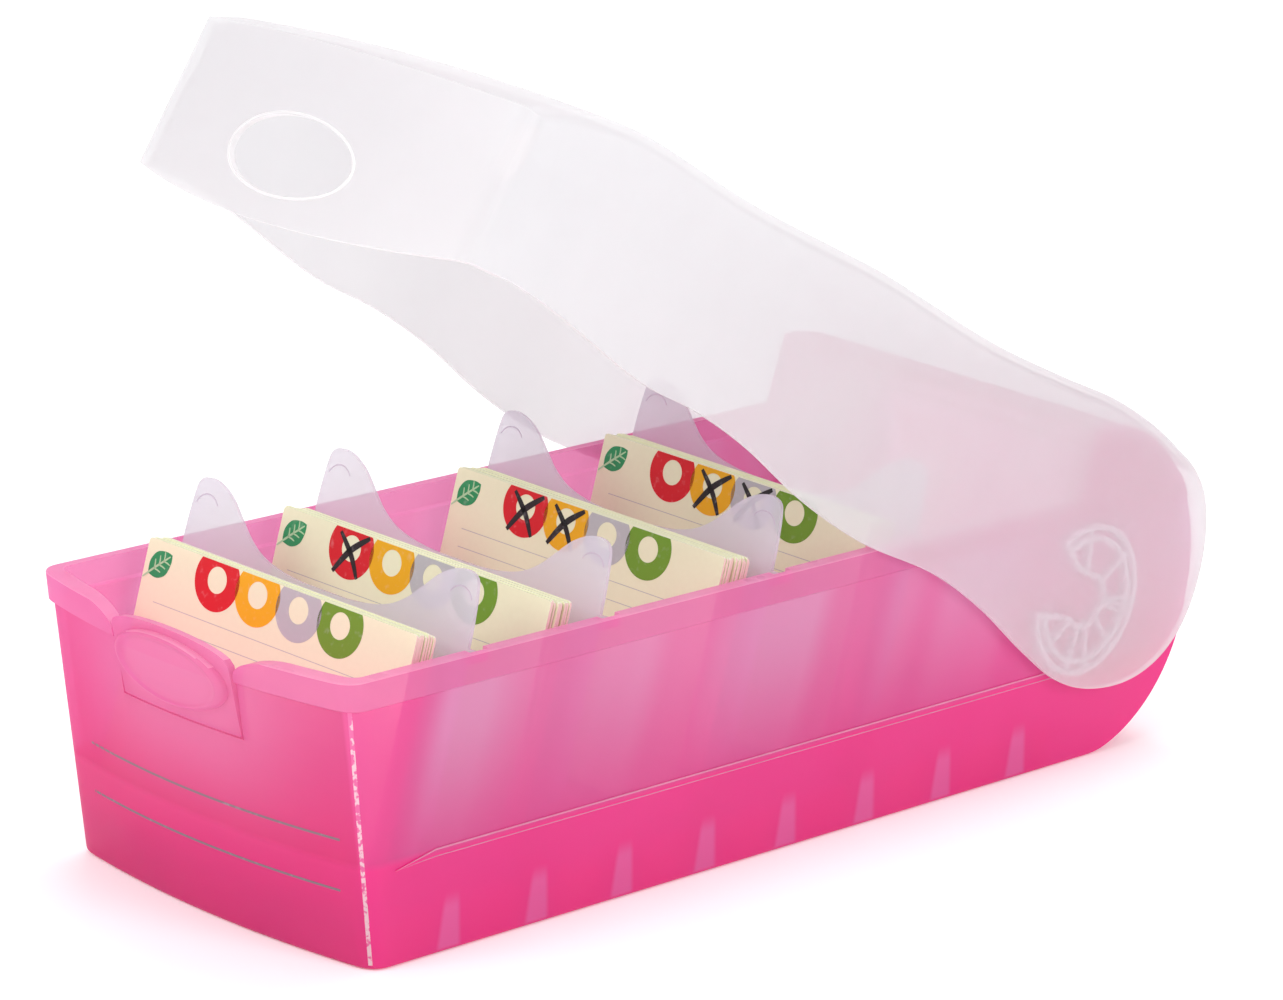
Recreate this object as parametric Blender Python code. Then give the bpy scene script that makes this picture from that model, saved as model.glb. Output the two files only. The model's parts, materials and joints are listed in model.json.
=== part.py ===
"""Desk-top card index box: translucent tray, swinging lid, dividers and stacks of small cards.

Metres, +Z up. X runs across the box, +Y from the front (latch) end to the hinged rear end.
The origin is on the table, under the middle of the box. The lid is modelled closed and then
swung about its hinge line to its half-open rest position.
"""

import math

import bmesh
import bpy
from mathutils import Matrix, Vector

MM = 0.001
FAR_X = 60.0 * MM  # a cutter runs this far either side of the box
FAR_Z = 95.0 * MM  # and this high
MARGIN = 30.0 * MM  # and this far past the front
SKIM = 0.01 * MM  # keeps two faces from lying in one plane
SAG_STEPS = 14  # columns across a bowed front
CORNER_STEPS = 3

# Tray: driving dimensions
FRONT_Y = -118.789 * MM  # front rim corners
RIM_HEIGHT = 59.4 * MM
BASE_HALF_WIDTH = 41.3 * MM
BODY_HALF_WIDTH = 42.3 * MM  # just under the rim collar
COLLAR_HALF_WIDTH = 43.0 * MM
HUMP_HALF_WIDTH = 42.6 * MM  # side walls above the rim at the rear
COLLAR_BOTTOM = 53.6 * MM
COLLAR_STEP = 0.5 * MM
COLLAR_FORWARD = 0.7 * MM
FRONT_DRAFT = 11.0 * MM  # how far the bottom of the front wall is set back
BOW_AT_BASE = 4.0 * MM
BOW_AT_RIM = 6.5 * MM
WALL = 1.6 * MM
EDGE_ROUND = 1.2 * MM
CORNER_ROUND = 4.0 * MM

# Hinge and the round rear end
PIVOT_Y = FRONT_Y + 209.0 * MM
PIVOT_Z = 37.0 * MM
REAR_RADIUS = 37.0 * MM
REAR_SWELL = 1.9 * MM  # how far the low rear bulges beyond that radius
SWELL_ANGLES = (-90.0, -8.0)
HUMP_FOOT_Y = FRONT_Y + 203.4 * MM  # where the rim rises into the rear hood
HUMP_TOP_ANGLE = 92.0
REAR_STEPS = 40
REAR_END_Y = PIVOT_Y + 60.0 * MM  # where blocks end before they are cut to the round rear end
PEG_RADIUS = 4.0 * MM
PEG_END = 43.3 * MM

# Raised card floor, the hollow beneath it and the small feet along the walls
DECK_TOP = 12.0 * MM
DECK_THICKNESS = 1.6 * MM
DECK_HALF_WIDTH = 37.8 * MM
DECK_END_Y = FRONT_Y + 205.0 * MM  # behind it the floor steps down into the round rear end
LEDGE_HEIGHT = 22.0 * MM
SKIRT_INNER_HALF_WIDTH = 39.7 * MM
FOOT_FIRST_Y = FRONT_Y + 30.4 * MM
FOOT_PITCH = 23.4 * MM
FEET_PER_SIDE = 8
FOOT_WIDTH = 7.4 * MM
FOOT_DEPTH = 5.2 * MM
FOOT_WALL = 0.9 * MM
FOOT_SOLE = 1.4 * MM
FRONT_FOOT_X = 16.0 * MM

# Latch tongue in the front wall
TONGUE_HALF_WIDTH = 16.2 * MM
TONGUE_ROOT = 42.0 * MM
TONGUE_TOP = 60.4 * MM
TONGUE_SHOULDER = 56.6 * MM
TONGUE_LEAN = 1.3 * MM
SLIT = 0.5 * MM
LOBE_START = 28.0 * MM
NOTCH_BOTTOM = 54.6 * MM
PAD_CENTRE_Z = 51.6 * MM
PAD_HALF_LENGTH = 15.0 * MM
PAD_HALF_HEIGHT = 7.2 * MM
PAD_HEIGHT = 1.9 * MM
PAD_SINK = 0.8 * MM
PAD_DISH = 1.3 * MM

# Lid, in its closed position
LID_OPEN_ANGLE = 25.9
LID_HALF_WIDTH = 44.9 * MM
LID_WALL = 1.3 * MM
LID_BOW = 8.0 * MM
LID_FRONT_BOTTOM = (FRONT_Y - 3.3 * MM, 44.5 * MM)
LID_FRONT_TOP = (FRONT_Y - 0.2 * MM, 75.0 * MM)
LID_EDGE_DIP = 5.2 * MM
FRONT_SEAM = 7.0 * MM  # how far back the front face's own lower edge runs
LID_FILLET = 3.0 * MM
LID_CROWN = 1.6 * MM
HOLE_CENTRE_Z = 52.6 * MM
HOLE_HALF_LENGTH = 15.8 * MM
HOLE_HALF_HEIGHT = 7.8 * MM
RING_OUTER = 16.2 * MM
RING_INNER = 5.2 * MM
RING_WALL = 1.2 * MM
RING_FACE = 42.6 * MM
RING_MOUTH = (153.0, 211.0)
RING_RIBS = 8
RIB_HALF_ANGLE = 1.6
RING_END_ANGLE = 4.0  # width of the two solid ends beside the mouth
WELD = 0.4 * MM  # how deep a piece runs into what it is fused to

# Cards and dividers
CARD_WIDTH = 74.0 * MM
CARD_HEIGHT = 52.0 * MM
CARD_THICKNESS = 0.35 * MM
CARD_GAP = 0.3 * MM
CARD_LEAN = 13.0
CARD_FLOOR = 12.4 * MM
STACK_FRONT_AT_TOP = [FRONT_Y + d * MM for d in (22.0, 57.2, 105.2, 147.8)]
STACK_COUNTS = (8, 9, 12, 12)
DIVIDER_BEHIND_FRONT = 11.6 * MM
DIVIDER_THICKNESS = 0.8 * MM
DIVIDER_FOOT_HALF_WIDTH = 37.2 * MM
DIVIDER_HALF_WIDTH = 39.8 * MM
LUG_HALF_WIDTH = 41.9 * MM
LUG_HEIGHT = 46.4 * MM
LUG_THICKNESS = 1.6 * MM
NOTCH_HALF_LENGTH = 2.4 * MM
NOTCH_DEPTH = 2.4 * MM

PINK = (0.86, 0.13, 0.42)
MILKY = (0.90, 0.89, 0.92)
LILAC = (0.88, 0.85, 0.90)
CREAM = (0.92, 0.88, 0.70)


# ---------------------------------------------------------------- helpers


def clear_scene():
    for old in list(bpy.data.objects):
        bpy.data.objects.remove(old, do_unlink=True)


def plastic(name, colour, roughness):
    material = bpy.data.materials.new(name)
    material.use_nodes = True
    shader = material.node_tree.nodes["Principled BSDF"]
    shader.inputs["Base Color"].default_value = (*colour, 1.0)
    shader.inputs["Roughness"].default_value = roughness
    shader.inputs["Metallic"].default_value = 0.0
    return material


def make_object(name, verts, faces, material=None):
    mesh = bpy.data.meshes.new(name)
    mesh.from_pydata([tuple(v) for v in verts], [], faces)
    work = bmesh.new()
    work.from_mesh(mesh)
    bmesh.ops.remove_doubles(work, verts=work.verts, dist=1e-7)
    bmesh.ops.recalc_face_normals(work, faces=work.faces)
    work.to_mesh(mesh)
    work.free()
    obj = bpy.data.objects.new(name, mesh)
    bpy.context.scene.collection.objects.link(obj)
    if material:
        mesh.materials.append(material)
    return obj


def loft(name, rings, material=None):
    """A closed solid through rings of equal length, with flat ends."""
    count = len(rings[0])
    verts = [p for ring in rings for p in ring]
    faces = [tuple(range(count))]
    for k in range(len(rings) - 1):
        for i in range(count):
            j = (i + 1) % count
            faces.append((k * count + i, k * count + j, (k + 1) * count + j, (k + 1) * count + i))
    faces.append(tuple(range((len(rings) - 1) * count, len(rings) * count)))
    return make_object(name, verts, faces, material)


def side_prism(name, outline, x_low, x_high):
    """An outline of (y, z) points drawn along X."""
    rings = [[(x, y, z) for y, z in outline] for x in (x_low, x_high)]
    return loft(name, rings)


def front_prism(name, outline, y_low, y_high):
    """An outline of (x, z) points drawn along Y."""
    rings = [[(x, y, z) for x, z in outline] for y in (y_low, y_high)]
    return loft(name, rings)


def box(name, low, high):
    outline = [(low[1], low[2]), (high[1], low[2]), (high[1], high[2]), (low[1], high[2])]
    return side_prism(name, outline, low[0], high[0])


def join(name, pieces):
    """Several separate solids as one object, for use as a cutter."""
    work = bmesh.new()
    for piece in pieces:
        work.from_mesh(piece.data)
        bpy.data.objects.remove(piece, do_unlink=True)
    mesh = bpy.data.meshes.new(name)
    work.to_mesh(mesh)
    work.free()
    obj = bpy.data.objects.new(name, mesh)
    bpy.context.scene.collection.objects.link(obj)
    return obj


def combine(target, tool, operation):
    """Applies a Boolean of the tool to the target and removes the tool."""
    modifier = target.modifiers.new("combine", "BOOLEAN")
    modifier.operation = operation
    modifier.solver = "EXACT"
    modifier.object = tool
    graph = bpy.context.evaluated_depsgraph_get()
    mesh = bpy.data.meshes.new_from_object(target.evaluated_get(graph))
    target.modifiers.clear()
    target.data = mesh
    bpy.data.objects.remove(tool, do_unlink=True)
    return target


def finish(obj, name, material, pivot=(0.0, 0.0, 0.0)):
    """Names an object, tidies its mesh, shades it and puts its origin on its joint's axis."""
    work = bmesh.new()
    work.from_mesh(obj.data)
    bmesh.ops.remove_doubles(work, verts=work.verts, dist=2e-6)
    bmesh.ops.dissolve_degenerate(work, edges=work.edges, dist=2e-6)
    bmesh.ops.dissolve_limit(work, angle_limit=math.radians(0.2), verts=work.verts, edges=work.edges)
    bmesh.ops.transform(work, matrix=Matrix.Translation(-Vector(pivot)), verts=work.verts)
    work.to_mesh(obj.data)
    work.free()
    obj.name = name
    obj.data.name = name
    obj.location = pivot
    obj.data.materials.clear()
    obj.data.materials.append(material)
    obj.data.shade_smooth()
    obj.data.set_sharp_from_angle(angle=math.radians(35))
    return obj


def mix(a, b, t):
    return a + (b - a) * t


def arc(centre, radius, start, end, steps):
    """Points (u, v) on an arc, angles in degrees from +u towards +v."""
    points = []
    for i in range(steps + 1):
        angle = math.radians(mix(start, end, i / steps))
        points.append((centre[0] + radius * math.cos(angle), centre[1] + radius * math.sin(angle)))
    return points


def spline(points, steps):
    """A smooth Catmull-Rom curve through the points."""
    curve = []
    for i in range(len(points) - 1):
        p0 = points[max(i - 1, 0)]
        p1, p2 = points[i], points[i + 1]
        p3 = points[min(i + 2, len(points) - 1)]
        for k in range(steps):
            t = k / steps
            curve.append(tuple(
                0.5 * (2 * b + (c - a) * t + (2 * a - 5 * b + 4 * c - d) * t * t
                       + (3 * b - a - 3 * c + d) * t ** 3)
                for a, b, c, d in zip(p0, p1, p2, p3)))
    curve.append(tuple(points[-1]))
    return curve


# ---------------------------------------------------------------- tray


def front_y(height):
    return FRONT_Y + FRONT_DRAFT * (1 - height / RIM_HEIGHT)


def bow(height):
    return mix(BOW_AT_BASE, BOW_AT_RIM, height / RIM_HEIGHT)


def body_half_width(height):
    return mix(BASE_HALF_WIDTH, BODY_HALF_WIDTH, height / COLLAR_BOTTOM)


def plan_ring(height, half_width, front, sag, rear, corner):
    """One level of a box with a bowed front: rear left, front left, front right, rear right."""

    def bowed(x):
        return front - sag * (1 - (x / half_width) ** 2)

    left = []
    inner_x = half_width - corner
    start = Vector((-half_width, bowed(half_width) + corner))
    middle = Vector((-half_width, bowed(half_width)))
    end = Vector((-inner_x, bowed(inner_x)))
    for i in range(CORNER_STEPS):
        t = i / CORNER_STEPS
        p = start * (1 - t) ** 2 + middle * 2 * t * (1 - t) + end * t * t
        left.append((p.x, p.y))
    across = [mix(-inner_x, inner_x, i / SAG_STEPS) for i in range(SAG_STEPS + 1)]
    face = [(x, bowed(x)) for x in across]
    right = [(-x, y) for x, y in reversed(left)]
    outline = [(-half_width, rear)] + left + face + right + [(half_width, rear)]
    return [(x, y, height) for x, y in outline]


def tray_level(height, inset=0.0, half_width=None):
    width = (half_width or body_half_width(height)) - inset
    return plan_ring(height, width, front_y(height) + inset, bow(height), REAR_END_Y, CORNER_ROUND)


def rear_curve(radius, start):
    """The rear end seen from the side: an arc round the hinge that swells a little low down."""
    first, last = SWELL_ANGLES
    points = []
    for i in range(REAR_STEPS + 1):
        angle = mix(start, HUMP_TOP_ANGLE, i / REAR_STEPS)
        share = min(max((angle - first) / (last - first), 0.0), 1.0)
        reach = radius + REAR_SWELL * math.sin(math.pi * share)
        points.append((PIVOT_Y + reach * math.cos(math.radians(angle)),
                       PIVOT_Z + reach * math.sin(math.radians(angle))))
    return points


def tray_block():
    """The tray's outside: tapered walls, cut to the side outline with its round rear end."""
    levels = [tray_level(0.0, EDGE_ROUND), tray_level(0.35 * EDGE_ROUND, 0.35 * EDGE_ROUND),
              tray_level(EDGE_ROUND), tray_level(COLLAR_BOTTOM - COLLAR_STEP)]
    for height in (COLLAR_BOTTOM, RIM_HEIGHT + SKIM):
        levels.append(plan_ring(height, COLLAR_HALF_WIDTH, front_y(height) - COLLAR_FORWARD,
                                bow(height), REAR_END_Y, CORNER_ROUND))
    for height in (RIM_HEIGHT + 0.4 * MM, FAR_Z):
        levels.append(plan_ring(height, HUMP_HALF_WIDTH, FRONT_Y, BOW_AT_RIM,
                                REAR_END_Y, CORNER_ROUND))
    block = loft("tray", levels)
    outline = [(FRONT_Y - MARGIN, -1 * MM), (PIVOT_Y - 12 * MM, -1 * MM)]
    outline += rear_curve(REAR_RADIUS, SWELL_ANGLES[0])
    outline += [(HUMP_FOOT_Y, RIM_HEIGHT), (FRONT_Y - MARGIN, RIM_HEIGHT)]
    return combine(block, side_prism("outline", outline, -FAR_X, FAR_X), "INTERSECT")


def cavity():
    """The open inside of the tray above the card floor."""
    half_widths = [(-5 * MM, DECK_HALF_WIDTH), (DECK_TOP, DECK_HALF_WIDTH),
                   (LEDGE_HEIGHT, body_half_width(LEDGE_HEIGHT) - WALL),
                   (COLLAR_BOTTOM, BODY_HALF_WIDTH - WALL), (FAR_Z + MARGIN, BODY_HALF_WIDTH - WALL)]
    levels = []
    for height, half_width in half_widths:
        low = min(height, RIM_HEIGHT)
        levels.append(plan_ring(height, half_width, front_y(low) + WALL, bow(low),
                                REAR_END_Y, CORNER_ROUND - WALL))
    block = loft("cavity", levels)
    radius = REAR_RADIUS - WALL
    step_y = DECK_END_Y + DECK_THICKNESS
    start = -90 - math.degrees(math.asin((PIVOT_Y - step_y) / radius))
    outline = [(FRONT_Y - MARGIN, DECK_TOP), (step_y, DECK_TOP)]
    outline += rear_curve(radius, start)
    outline += [(outline[-1][0], FAR_Z), (FRONT_Y - MARGIN, FAR_Z)]
    return combine(block, side_prism("outline", outline, -FAR_X, FAR_X), "INTERSECT")


def feet_centres():
    return [FOOT_FIRST_Y + i * FOOT_PITCH for i in range(FEET_PER_SIDE)]


def foot_blocks(name, width, from_wall, depth, low, high):
    """One block for each foot along both side walls, and two at the front wall.

    Each starts a stated way inside the wall's inner face, or beyond it if negative.
    """
    pieces = []
    for y in feet_centres():
        for side in (-1, 1):
            near = side * (SKIRT_INNER_HALF_WIDTH - from_wall)
            far = side * (SKIRT_INNER_HALF_WIDTH - depth)
            x_low, x_high = sorted((near, far))
            pieces.append(box("foot", (x_low, y - width / 2, low), (x_high, y + width / 2, high)))
    for side in (-1, 1):
        x = side * FRONT_FOOT_X
        wall_y = front_y(0) + WALL - bow(0) * (1 - (x / BASE_HALF_WIDTH) ** 2)
        pieces.append(box("foot", (x - width / 2, wall_y + from_wall, low),
                          (x + width / 2, wall_y + depth, high)))
    return join(name, pieces)


def hollow_below_deck():
    """The space under the card floor, open to the table, without the feet."""
    top = DECK_TOP - DECK_THICKNESS
    levels = [plan_ring(h, SKIRT_INNER_HALF_WIDTH, front_y(0) + WALL, bow(0),
                        REAR_END_Y, CORNER_ROUND - WALL) for h in (-3 * MM, top)]
    block = loft("hollow", levels)
    behind = box("behind", (-FAR_X, DECK_END_Y, -MARGIN), (FAR_X, REAR_END_Y + MARGIN, MARGIN))
    combine(block, behind, "DIFFERENCE")
    blocks = foot_blocks("feet", FOOT_WIDTH, -3 * MM, FOOT_DEPTH, -5 * MM, DECK_TOP)
    return combine(block, blocks, "DIFFERENCE")


def foot_wells():
    """The inside of each foot, open upwards into the tray."""
    return foot_blocks("wells", FOOT_WIDTH - 2 * FOOT_WALL, 0.0, FOOT_DEPTH - FOOT_WALL,
                       FOOT_SOLE, DECK_TOP + 0.8 * MM)


def latch_window():
    """The cut in the front rim: a lobe falling to a slit on each side of the tongue."""
    slit_x = TONGUE_HALF_WIDTH + SLIT
    lobe = []
    for i in range(9):
        angle = math.radians(90 * i / 8)
        x = slit_x + (LOBE_START - slit_x) * (1 - math.cos(angle))
        z = NOTCH_BOTTOM + (RIM_HEIGHT - NOTCH_BOTTOM) * math.sin(angle)
        lobe.append((x, z))
    right = [(slit_x, TONGUE_ROOT - SLIT)] + lobe + [(LOBE_START, RIM_HEIGHT + 8 * MM)]
    left = [(-x, z) for x, z in reversed(right)]
    return front_prism("window", right + left, FRONT_Y - MARGIN, FRONT_Y + MARGIN / 2)


def divider_plane_y(stack, height):
    """Where the front of a divider stands at a given height."""
    top_z = CARD_FLOOR + CARD_HEIGHT * math.cos(math.radians(CARD_LEAN))
    lean = math.tan(math.radians(CARD_LEAN))
    return STACK_FRONT_AT_TOP[stack] + DIVIDER_BEHIND_FRONT + (height - top_z) * lean


def rim_notches():
    pieces = []
    for stack in range(len(STACK_COUNTS)):
        y = divider_plane_y(stack, RIM_HEIGHT) + DIVIDER_THICKNESS / 2
        for side in (-1, 1):
            near = side * (BODY_HALF_WIDTH - WALL - MM)
            far = side * (LUG_HALF_WIDTH + 0.3 * MM)
            x_low, x_high = sorted((near, far))
            pieces.append(box("notch", (x_low, y - NOTCH_HALF_LENGTH, RIM_HEIGHT - NOTCH_DEPTH),
                              (x_high, y + NOTCH_HALF_LENGTH, RIM_HEIGHT + 5 * MM)))
    return join("notches", pieces)


def peg(side):
    points = arc((PIVOT_Y, PIVOT_Z), PEG_RADIUS, 0, 360, 24)[:-1]
    x_low, x_high = sorted((side * (BODY_HALF_WIDTH - WALL), side * PEG_END))
    return side_prism("peg", points, x_low, x_high)


def build_tray(material):
    tray = tray_block()
    combine(tray, cavity(), "DIFFERENCE")
    combine(tray, hollow_below_deck(), "DIFFERENCE")
    combine(tray, foot_wells(), "DIFFERENCE")
    combine(tray, latch_window(), "DIFFERENCE")
    combine(tray, rim_notches(), "DIFFERENCE")
    for side in (-1, 1):
        combine(tray, peg(side), "UNION")
    return finish(tray, "tray", material)


# ---------------------------------------------------------------- latch tongue


def tongue_surface(x, height):
    """Outer face of the tongue, leaning forward of the front wall towards its top."""
    rise = max(0.0, (height - TONGUE_ROOT) / (TONGUE_TOP - TONGUE_ROOT))
    half_width = body_half_width(height)
    return front_y(height) - bow(height) * (1 - (x / half_width) ** 2) - TONGUE_LEAN * rise


def build_tongue(material):
    columns, rows = 16, 6
    outer, inner = [], []
    for i in range(columns + 1):
        x = mix(-TONGUE_HALF_WIDTH, TONGUE_HALF_WIDTH, i / columns)
        top = TONGUE_SHOULDER + (TONGUE_TOP - TONGUE_SHOULDER) * math.sqrt(
            max(0.0, 1 - (x / TONGUE_HALF_WIDTH) ** 2))
        heights = [mix(TONGUE_ROOT, top, k / rows) for k in range(rows + 1)]
        outer.append([(x, tongue_surface(x, z), z) for z in heights])
        inner.append([(x, tongue_surface(x, z) + WALL, z) for z in heights])
    rings = [front + list(reversed(back)) for front, back in zip(outer, inner)]
    tongue = loft("tongue", rings)
    combine(tongue, latch_pad(), "UNION")
    root = (0.0, tongue_surface(0.0, TONGUE_ROOT) + WALL / 2, TONGUE_ROOT)
    return finish(tongue, "latch_tongue", material, root)


def latch_pad():
    """The raised oval thumb pad: rings of ellipses from inside the wall to a shallow dish."""
    steps = 36
    rings = []
    for scale, rise in ((1.0, -PAD_SINK), (1.0, PAD_HEIGHT / 2), (0.97, 0.8 * PAD_HEIGHT),
                        (0.90, PAD_HEIGHT), (0.82, 0.8 * PAD_HEIGHT), (0.70, PAD_DISH)):
        ring = []
        for i in range(steps):
            angle = 2 * math.pi * i / steps
            x = PAD_HALF_LENGTH * scale * math.cos(angle)
            z = PAD_CENTRE_Z + PAD_HALF_HEIGHT * scale * math.sin(angle)
            ring.append((x, tongue_surface(x, z) - rise, z))
        rings.append(ring)
    return loft("pad", rings)


# ---------------------------------------------------------------- lid


def lid_top_line():
    """The wavy top of the lid seen from the side, front to rear."""
    points = [(0.0, 75.0), (7.0, 77.4), (17.0, 79.2), (34.0, 80.3), (67.0, 78.2), (97.0, 78.1),
              (114.0, 78.0), (151.0, 75.9), (180.0, 76.5), (196.0, 77.3), (212.0, 76.2), (227.0, 73.2)]
    return [(FRONT_Y + y * MM, z * MM) for y, z in points]


def lid_lower_line():
    """The lower edge of a side wall, from the front round the ear to the top panel's rear edge."""
    points = [(-4.0, 44.5), (12.0, 44.4), (27.0, 42.6), (53.0, 38.2), (72.0, 37.6), (90.0, 35.4),
              (112.0, 30.6), (134.0, 28.2), (158.0, 28.6), (177.0, 26.2), (195.0, 21.8),
              (210.0, 19.2), (222.0, 20.9), (233.0, 26.0), (240.5, 34.0), (243.3, 44.0),
              (241.5, 56.0), (236.0, 66.0), (227.0, 73.2)]
    return [(FRONT_Y + y * MM, z * MM) for y, z in points]


def lid_front_y(height):
    low, high = LID_FRONT_BOTTOM, LID_FRONT_TOP
    return mix(low[0], high[0], (height - low[1]) / (high[1] - low[1]))


def lid_plan(inset):
    """The lid's walls as a tall block, before it is cut to its side outline."""
    levels = []
    for height in (5 * MM, FAR_Z):
        levels.append(plan_ring(height, LID_HALF_WIDTH - inset, lid_front_y(height) + inset, LID_BOW,
                                REAR_END_Y, CORNER_ROUND - inset))
    return loft("lid_block", levels)


def top_section(y, z, inset):
    """Half-round shoulders and a slight crown: the lid's upper outline across the box."""
    half_width = LID_HALF_WIDTH + 10 * MM
    shoulder = LID_FILLET - inset
    flat = LID_HALF_WIDTH - inset - shoulder
    points = [(-half_width, y, z - shoulder), (-LID_HALF_WIDTH + inset, y, z - shoulder)]
    for angle in (30.0, 60.0, 90.0):
        a = math.radians(angle)
        points.append((-flat - shoulder * math.cos(a), y, z - shoulder + shoulder * math.sin(a)))
    for k in (-0.6, -0.2):
        points.append((k * flat, y, z + LID_CROWN * (1 - k * k)))
    points += [(-x, py, pz) for x, py, pz in reversed(points)]
    return points


def lid_cover(inset):
    """Everything below the lid's top surface, with rounded shoulders."""
    low = -10 * MM
    curve = spline(lid_top_line(), 3)
    first = curve[0]
    stations = [(FRONT_Y - 40 * MM, first[1] - 3 * MM), (first[0] - 12 * MM, first[1] - 2.4 * MM)]
    stations += curve
    stations += [(curve[-1][0] + MARGIN, curve[-1][1] - 0.3 * MARGIN)]
    rings = []
    for y, z in stations:
        section = top_section(y, z - inset, inset)
        rings.append([(section[0][0], y, low)] + section + [(section[-1][0], y, low)])
    return loft("cover", rings)


def front_dip():
    """Cuts the front face's lower edge to a shallow arc that dips in the middle."""
    bottom = LID_FRONT_BOTTOM[1]
    edge = LID_HALF_WIDTH + 5 * MM
    arch = []
    for i in range(17):
        x = mix(-LID_HALF_WIDTH, LID_HALF_WIDTH, i / 16)
        arch.append((x, bottom - LID_EDGE_DIP * (1 - (x / LID_HALF_WIDTH) ** 2)))
    outline = [(-edge, -20 * MM), (-edge, bottom)] + arch + [(edge, bottom), (edge, -20 * MM)]
    return front_prism("dip", outline, FRONT_Y - 40 * MM, FRONT_Y + FRONT_SEAM)


def lid_outline_cut():
    """The space below and behind the lid's side outline, as one cutter."""
    seam = FRONT_Y + FRONT_SEAM - 0.1 * MM
    lower = [p for p in spline(lid_lower_line(), 3) if p[0] > seam]
    far_y = REAR_END_Y + MARGIN
    far_z = FAR_Z + MARGIN
    outline = [(seam, lower[0][1])] + lower
    outline += [(lower[-1][0], far_z), (far_y, far_z), (far_y, -MARGIN), (seam, -MARGIN)]
    return side_prism("outside", outline, -FAR_X, FAR_X)


def oval_hole():
    outline = []
    for i in range(40):
        angle = 2 * math.pi * i / 40
        x = HOLE_HALF_LENGTH * math.cos(angle)
        z = HOLE_CENTRE_Z + HOLE_HALF_HEIGHT * math.sin(angle)
        outline.append((x, z))
    return front_prism("hole", outline, FRONT_Y - MARGIN, FRONT_Y + 5 * MM)


def clip_ring(side):
    """The open ring on the inside of an ear that snaps over the tray's peg."""
    start, end = RING_MOUTH[1], RING_MOUTH[0] + 360
    centre = (PIVOT_Y, PIVOT_Z)
    x_low, x_high = sorted((side * RING_FACE, side * (LID_HALF_WIDTH - LID_WALL + WELD)))
    pieces = []
    for radius in (RING_OUTER, RING_INNER + RING_WALL):
        outline = arc(centre, radius, start, end, 30)
        outline += list(reversed(arc(centre, radius - RING_WALL, start, end, 30)))
        pieces.append(side_prism("ring", outline, x_low, x_high))
    for i in range(RING_RIBS):
        angle = mix(start, end, i / (RING_RIBS - 1))
        low_a, high_a = angle - RIB_HALF_ANGLE, angle + RIB_HALF_ANGLE
        if i == 0:
            low_a, high_a = angle, angle + RING_END_ANGLE
        if i == RING_RIBS - 1:
            low_a, high_a = angle - RING_END_ANGLE, angle
        inner = arc(centre, RING_INNER + WELD, low_a, high_a, 1)
        outer = arc(centre, RING_OUTER - WELD, low_a, high_a, 1)
        pieces.append(side_prism("rib", inner + list(reversed(outer)), x_low, x_high))
    return pieces


def build_lid(material):
    lid = combine(lid_plan(0.0), lid_cover(0.0), "INTERSECT")
    inside = combine(lid_plan(LID_WALL), lid_cover(LID_WALL), "INTERSECT")
    combine(lid, inside, "DIFFERENCE")
    combine(lid, lid_outline_cut(), "DIFFERENCE")
    combine(lid, front_dip(), "DIFFERENCE")
    combine(lid, oval_hole(), "DIFFERENCE")
    for side in (-1, 1):
        for piece in clip_ring(side):
            combine(lid, piece, "UNION")
    pivot = (0.0, PIVOT_Y, PIVOT_Z)
    finish(lid, "lid", material, pivot)
    lid.rotation_euler = (-math.radians(LID_OPEN_ANGLE), 0.0, 0.0)
    return lid


# ---------------------------------------------------------------- cards and dividers


def leaning(stack, distance):
    """World matrix of a sheet that leans back, its lower front edge at the local origin."""
    lean = math.radians(CARD_LEAN)
    top_y = STACK_FRONT_AT_TOP[stack]
    foot_y = top_y - CARD_HEIGHT * math.sin(lean)
    across = distance / math.cos(lean)
    place = Matrix.Translation((0.0, foot_y + across, CARD_FLOOR))
    return place @ Matrix.Rotation(-lean, 4, "X")


def card_name(stack, index):
    return f"card_{stack + 1}_{index + 1:02d}"


def build_cards(material):
    half = CARD_WIDTH / 2
    outline = [(-half, 0.0), (half, 0.0), (half, CARD_HEIGHT), (-half, CARD_HEIGHT)]
    for stack, count in enumerate(STACK_COUNTS):
        for index in range(count):
            card = front_prism(card_name(stack, index), outline, 0.0, CARD_THICKNESS)
            finish(card, card_name(stack, index), material)
            card.matrix_world = leaning(stack, index * (CARD_THICKNESS + CARD_GAP))


def divider_outline():
    """Half of a divider as (x, height) points, from the foot's middle to the valley's middle."""
    tab = [(39.6, 47.9), (39.4, 53.0), (38.8, 59.0), (37.9, 61.2), (35.8, 62.0), (32.6, 61.6),
           (28.8, 59.6), (25.2, 56.3), (21.8, 53.2), (17.6, 50.8), (12.0, 49.4), (6.0, 48.8)]
    half = [(DIVIDER_FOOT_HALF_WIDTH, 0.0), (DIVIDER_FOOT_HALF_WIDTH, 9.6 * MM),
            (DIVIDER_HALF_WIDTH, 13.0 * MM), (DIVIDER_HALF_WIDTH, LUG_HEIGHT),
            (LUG_HALF_WIDTH, LUG_HEIGHT), (LUG_HALF_WIDTH, LUG_HEIGHT + LUG_THICKNESS)]
    return half + spline([(x * MM, z * MM) for x, z in tab], 3)


def build_dividers(material):
    half = divider_outline()
    outline = half + [(-x, z) for x, z in reversed(half)]
    for stack in range(len(STACK_COUNTS)):
        name = f"divider_{stack + 1}"
        divider = front_prism(name, outline, 0.0, DIVIDER_THICKNESS)
        finish(divider, name, material)
        divider.matrix_world = leaning(stack, DIVIDER_BEHIND_FRONT * math.cos(math.radians(CARD_LEAN)))


# ---------------------------------------------------------------- assembly


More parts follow.
